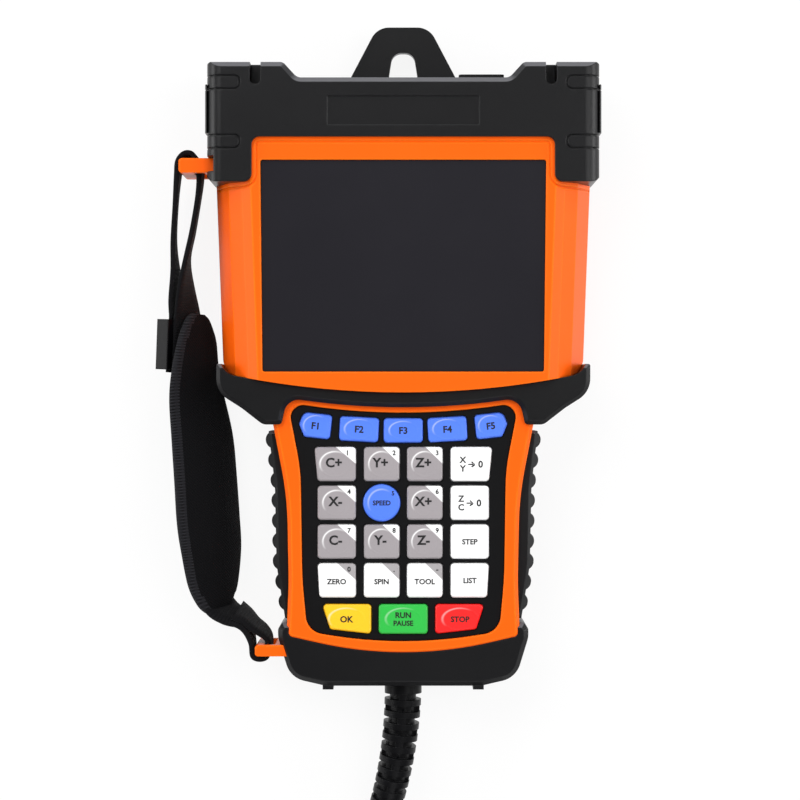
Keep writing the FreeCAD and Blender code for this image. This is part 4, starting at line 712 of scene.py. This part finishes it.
def crown():
    """Outline of the sleeve."""
    made = []
    for k in range(CROWN_POINTS):
        turn = 2 * math.pi * k / CROWN_POINTS
        c = math.cos(turn)
        s = math.sin(turn)
        made.append((math.copysign(abs(c) ** CROWN_ACROSS, c), math.copysign(abs(s) ** CROWN_NORMAL, s)))
    return made


def bound(share, width):
    """1 for a face in the ribbed tape of the upper edge, and 0 for the rest."""
    return int((1 - share) * width / 2 < BINDING_WIDTH)


def strap_sleeve():
    """Padded sleeve with a ribbed tape round its upper edge."""
    outline = crown()
    stations = [
        at(-77.6, 32.4, -30.0, 2.6, 7.5),
        at(-77.7, 30.6, -30.0, 3.8, 13.0),
        at(-77.8, 26.0, -30.0, 4.6, 19.5),
        at(-77.9, 20.5, -30.0, 4.8, 24.5),
        at(-78.4, 9.8, -31.0, 5.0, 29.0),
        at(-77.8, 0.0, -36.0, 5.2, 30.2),
        at(-75.7, -15.0, -40.0, 5.4, 31.4),
        at(-74.5, -30.0, -40.0, 5.5, 32.0),
        at(-73.5, -45.0, -40.0, 5.5, 32.2),
        at(-72.4, -56.0, -40.0, 5.4, 30.8),
        at(-71.7, -67.6, -40.0, 5.2, 26.4),
        at(-70.6, -74.5, -40.0, 4.6, 20.6),
        at(-69.0, -78.4, -40.0, 3.4, 14.0),
    ]
    mesh = swept("strap_sleeve", stations, outline, steps=10, zone=bound)
    made = piece("strap_sleeve", mesh, "housing", "pad_fabric", LOOKS["pad_fabric"], LOOKS["binding"])
    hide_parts("strap_pad")
    swell(made, len(outline))


def strap_tail():
    """Webbing from the sleeve's lower end, twisted into the lower lug and back on itself."""
    stations = [
        at(-72.0, -70.0, -40.0, 1.8, 15.0),
        at(-70.2, -76.2, -36.0, 2.0, 16.5),
        at(-66.2, -80.0, -24.0, 2.2, 17.5),
        at(-61.4, -82.6, -13.0, 2.2),
        at(-58.6, -86.0, -6.0, 2.0),
        at(-57.0, -91.0, 0.0, 1.9),
        at(-56.3, -95.8, 0.0, 1.9),
        at(-53.7, -97.0, 0.0, 1.9),
        at(-51.0, -96.0, 0.0, 1.9),
        at(-50.4, -92.5, 0.0, 1.9),
        at(-51.0, -89.2, 2.0, 1.9),
        at(-53.2, -86.8, 6.0, 1.9),
        at(-56.4, -84.4, 8.0, 1.9),
        at(-59.4, -81.4, 11.0, 1.9),
        at(-62.6, -79.4, 16.0, 1.9),
    ]
    made = piece("strap_tail", swept("strap_tail", stations, WEB_SECTION), "housing", "webbing")
    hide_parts("strap_lower_webbing")


strap_loop()
strap_sleeve()
strap_tail()


# Notch stops: the walls that close the bumper's two notches half way down, in millimetres

NOTCH_X = 54.6
NOTCH_HALF = 1.9
NOTCH_LOW = 117.0
NOTCH_HIGH = 124.6
NOTCH_FLOOR = 20.6
NOTCH_STOP = 33.0


def notch_stops():
    """One small block low in each notch."""
    size = (2 * NOTCH_HALF, NOTCH_HIGH - NOTCH_LOW, NOTCH_STOP - NOTCH_FLOOR)
    for side, name in ((-1, "notch_stop_left"), (1, "notch_stop_right")):
        middle = (side * NOTCH_X, (NOTCH_HIGH + NOTCH_LOW) / 2, (NOTCH_STOP + NOTCH_FLOOR) / 2)
        made = bmesh.new()
        bmesh.ops.create_cube(made, size=1.0)
        bmesh.ops.scale(made, vec=Vector(size) * MM, verts=made.verts)
        bmesh.ops.translate(made, vec=Vector(middle) * MM, verts=made.verts)
        piece(name, as_mesh(name, made), "housing", "black_bumper")


notch_stops()


# Key legends: plain digits, axis letters and everyday words, as lines of (words, height, x, y) in millimetres

CAP_SHARE = 0.69                     # height of a capital as a share of the font size
BOLD = 0.042                         # widening of each stroke as a share of the height
PRINT_HALF = 0.00003                 # half the thickness of the print, in metres
SOFT_TURN = 16.4 / 301.0             # turn of each soft key along its arc
SOFT_MIDDLE = 3                      # the soft key that isn't turned
AXIS, DIGIT, WORD, SOFT = 3.3, 1.7, 1.9, 2.4
CENTRE = (0.0, 0.0)
ABOVE_CENTRE = (-0.4, 0.6)
BELOW_CENTRE = (0.0, -0.4)
CORNER = (4.6, 4.2)
ARROW = "→"


def axis_key(letters, digit):
    """An axis with its direction, and a digit in the corner."""
    return [(letters, AXIS, *ABOVE_CENTRE), (digit, DIGIT, *CORNER)]


def word_key(word, sign, height):
    """A word, and a sign in the corner."""
    return [(word, WORD, *BELOW_CENTRE), (sign, height, *CORNER)]


def zero_key(upper, lower):
    """Two axes with an arrow to zero."""
    return [(upper, 2.2, -3.2, 1.6), (lower, 2.2, -3.2, -1.6), (ARROW, 2.2, *CENTRE), ("0", 2.4, 3.4, 0.0)]


LEGENDS = {
    **{f"soft_key_{n}": [(f"F{n}", SOFT, *CENTRE)] for n in range(1, 6)},
    "key_1": axis_key("C+", "1"),
    "key_2": axis_key("Y+", "2"),
    "key_3": axis_key("Z+", "3"),
    "key_4": axis_key("X-", "4"),
    "key_5": [("SPEED", 1.7, *CENTRE), ("5", 1.5, 4.2, 3.6)],
    "key_6": axis_key("X+", "6"),
    "key_7": axis_key("C-", "7"),
    "key_8": axis_key("Y-", "8"),
    "key_9": axis_key("Z-", "9"),
    "key_0": word_key("ZERO", "0", DIGIT),
    "key_point": word_key("SPIN", ".", WORD),
    "key_minus": word_key("TOOL", "-", WORD),
    "key_zero_all": zero_key("X", "Y"),
    "key_zero_one": zero_key("Z", "C"),
    "key_mode": [("STEP", WORD, *CENTRE)],
    "key_menu": [("LIST", WORD, *CENTRE)],
    "key_accept": [("OK", 2.2, *CENTRE)],
    "key_run": [("RUN", 2.0, 0.0, 1.5), ("PAUSE", 1.8, 0.0, -1.5)],
    "key_stop": [("STOP", 2.0, *CENTRE)],
}


def words_mesh(words, height, place, turn):
    """Thin raised print, centred on a place."""
    curve = bpy.data.curves.new("words", "FONT")
    curve.body = words
    curve.size = height / CAP_SHARE * MM
    curve.offset = height * BOLD * MM
    curve.extrude = PRINT_HALF
    curve.resolution_u = 3
    curve.align_x = "CENTER"
    holder = bpy.data.objects.new("words", curve)
    SCENE.collection.objects.link(holder)
    bpy.context.view_layer.update()
    mesh = bpy.data.meshes.new_from_object(holder.evaluated_get(bpy.context.evaluated_depsgraph_get()))
    bpy.data.objects.remove(holder)
    mesh.transform(Matrix.Translation(place) @ Matrix.Rotation(turn, 4, "Z")
                   @ Matrix.Translation((0, -height * MM / 2, 0)))
    return mesh


def legends():
    """One printed piece on each key."""
    for key, lines in LEGENDS.items():
        low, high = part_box(key)
        top = Vector(((low.x + high.x) / 2, (low.y + high.y) / 2, high.z + PRINT_HALF))
        turn = (int(key[-1]) - SOFT_MIDDLE) * SOFT_TURN if key.startswith("soft") else 0.0
        made = bmesh.new()
        for words, height, dx, dy in lines:
            offset = Matrix.Rotation(turn, 3, "Z") @ Vector((dx * MM, dy * MM, 0))
            part = words_mesh(words, height, top + offset, turn)
            made.from_mesh(part)
            bpy.data.meshes.remove(part)
        name = "print_" + key
        piece(name, as_mesh(name, made), key, "overlay", LOOKS["ink"])


legends()


# Floor, light and camera, in metres

FLOOR_HALF = 4.0
FLOOR_BELOW = 0.0004                 # a little under the object, clear of its flat back
FLOOR_COLOUR = (0.9, 0.9, 0.9, 1.0)
FLOOR_GLOW = 0.88                    # share of plain white in what the camera sees; the rest takes the shadow
WORLD_LIGHT = 0.42                   # strength of the surroundings as light, in reflections and to the camera
WORLD_MIRRORED = 0.16
WORLD_SEEN = 1.0
LAMPS = {                            # place, aim, size and power
    "key_lamp": ((-0.7, 0.9, 1.5), (0.0, 0.0, 0.0), 1.0, 13.0),
    "fill_lamp": ((0.9, 0.2, 1.5), (0.0, 0.0, 0.0), 1.0, 8.0),
    "low_lamp": ((0.1, -1.1, 0.9), (0.0, 0.0, 0.0), 0.8, 4.0),
    "edge_lamp": ((0.0, 1.3, 0.8), (0.0, 0.0, 0.02), 0.5, 5.0),
    "left_lamp": ((-1.2, 0.1, 0.4), (0.0, 0.0, 0.02), 0.6, 6.0),
    "right_lamp": ((1.2, 0.1, 0.4), (0.0, 0.0, 0.02), 0.6, 6.0),
}
CAMERA_PLACE = (-0.0012, 0.0, 0.887)
CAMERA_NEAR = 0.05
VIEW_HALF = 0.148                    # half of the width in view at this distance
VIEW_DISTANCE = 0.850


def floor_look():
    """White to the camera and in reflections, but for a share that takes light and shadow."""
    material = bpy.data.materials.new("floor")
    material.use_nodes = True
    nodes = material.node_tree.nodes
    link = material.node_tree.links.new
    nodes.clear()
    paths = nodes.new("ShaderNodeLightPath")
    seen = nodes.new("ShaderNodeMath")
    seen.operation = "MAXIMUM"
    share = nodes.new("ShaderNodeMath")
    share.operation = "MULTIPLY"
    share.inputs[1].default_value = FLOOR_GLOW
    diffuse = nodes.new("ShaderNodeBsdfDiffuse")
    diffuse.inputs["Color"].default_value = FLOOR_COLOUR
    glow = nodes.new("ShaderNodeEmission")
    glow.inputs["Color"].default_value = WHITE
    glow.inputs["Strength"].default_value = 1.0
    mixer = nodes.new("ShaderNodeMixShader")
    out = nodes.new("ShaderNodeOutputMaterial")
    link(paths.outputs["Is Camera Ray"], seen.inputs[0])
    link(paths.outputs["Is Glossy Ray"], seen.inputs[1])
    link(seen.outputs[0], share.inputs[0])
    link(share.outputs[0], mixer.inputs[0])
    link(diffuse.outputs[0], mixer.inputs[1])
    link(glow.outputs[0], mixer.inputs[2])
    link(mixer.outputs[0], out.inputs[0])
    return material


def floor():
    """Pale floor that keeps a soft shadow."""
    made = bmesh.new()
    bmesh.ops.create_grid(made, x_segments=1, y_segments=1, size=FLOOR_HALF)
    plane = bpy.data.objects.new("floor", as_mesh("floor", made))
    plane.location.z = -FLOOR_BELOW
    plane.data.materials.append(floor_look())
    SCENE.collection.objects.link(plane)


def world():
    """Even pale surroundings, white to the camera and dimmer in reflections."""
    made = bpy.data.worlds.new("studio")
    made.use_nodes = True
    nodes = made.node_tree.nodes
    link = made.node_tree.links.new
    paths = nodes.new("ShaderNodeLightPath")
    mirrored = nodes.new("ShaderNodeMapRange")
    mirrored.inputs["To Min"].default_value = WORLD_LIGHT
    mirrored.inputs["To Max"].default_value = WORLD_MIRRORED
    strength = nodes.new("ShaderNodeMapRange")
    strength.inputs["To Max"].default_value = WORLD_SEEN
    back = nodes["Background"]
    back.inputs["Color"].default_value = WHITE
    link(paths.outputs["Is Glossy Ray"], mirrored.inputs["Value"])
    link(mirrored.outputs[0], strength.inputs["To Min"])
    link(paths.outputs["Is Camera Ray"], strength.inputs["Value"])
    link(strength.outputs[0], back.inputs["Strength"])
    SCENE.world = made


def lamp(name, place, aim, size, power):
    """Square soft lamp."""
    data = bpy.data.lights.new(name, "AREA")
    data.shape = "SQUARE"
    data.size = size
    data.energy = power
    made = bpy.data.objects.new(name, data)
    made.location = place
    made.rotation_euler = (Vector(aim) - Vector(place)).to_track_quat("-Z", "Y").to_euler()
    SCENE.collection.objects.link(made)


def camera():
    """Camera straight above, framed as the photograph."""
    data = bpy.data.cameras.new("camera")
    data.sensor_fit = "HORIZONTAL"
    data.angle = 2 * math.atan(VIEW_HALF / VIEW_DISTANCE)
    data.clip_start = CAMERA_NEAR
    made = bpy.data.objects.new("camera", data)
    made.location = CAMERA_PLACE
    SCENE.collection.objects.link(made)
    SCENE.camera = made


floor()
world()
for name, values in LAMPS.items():
    lamp(name, *values)
camera()
SCENE.view_settings.view_transform = "Standard"
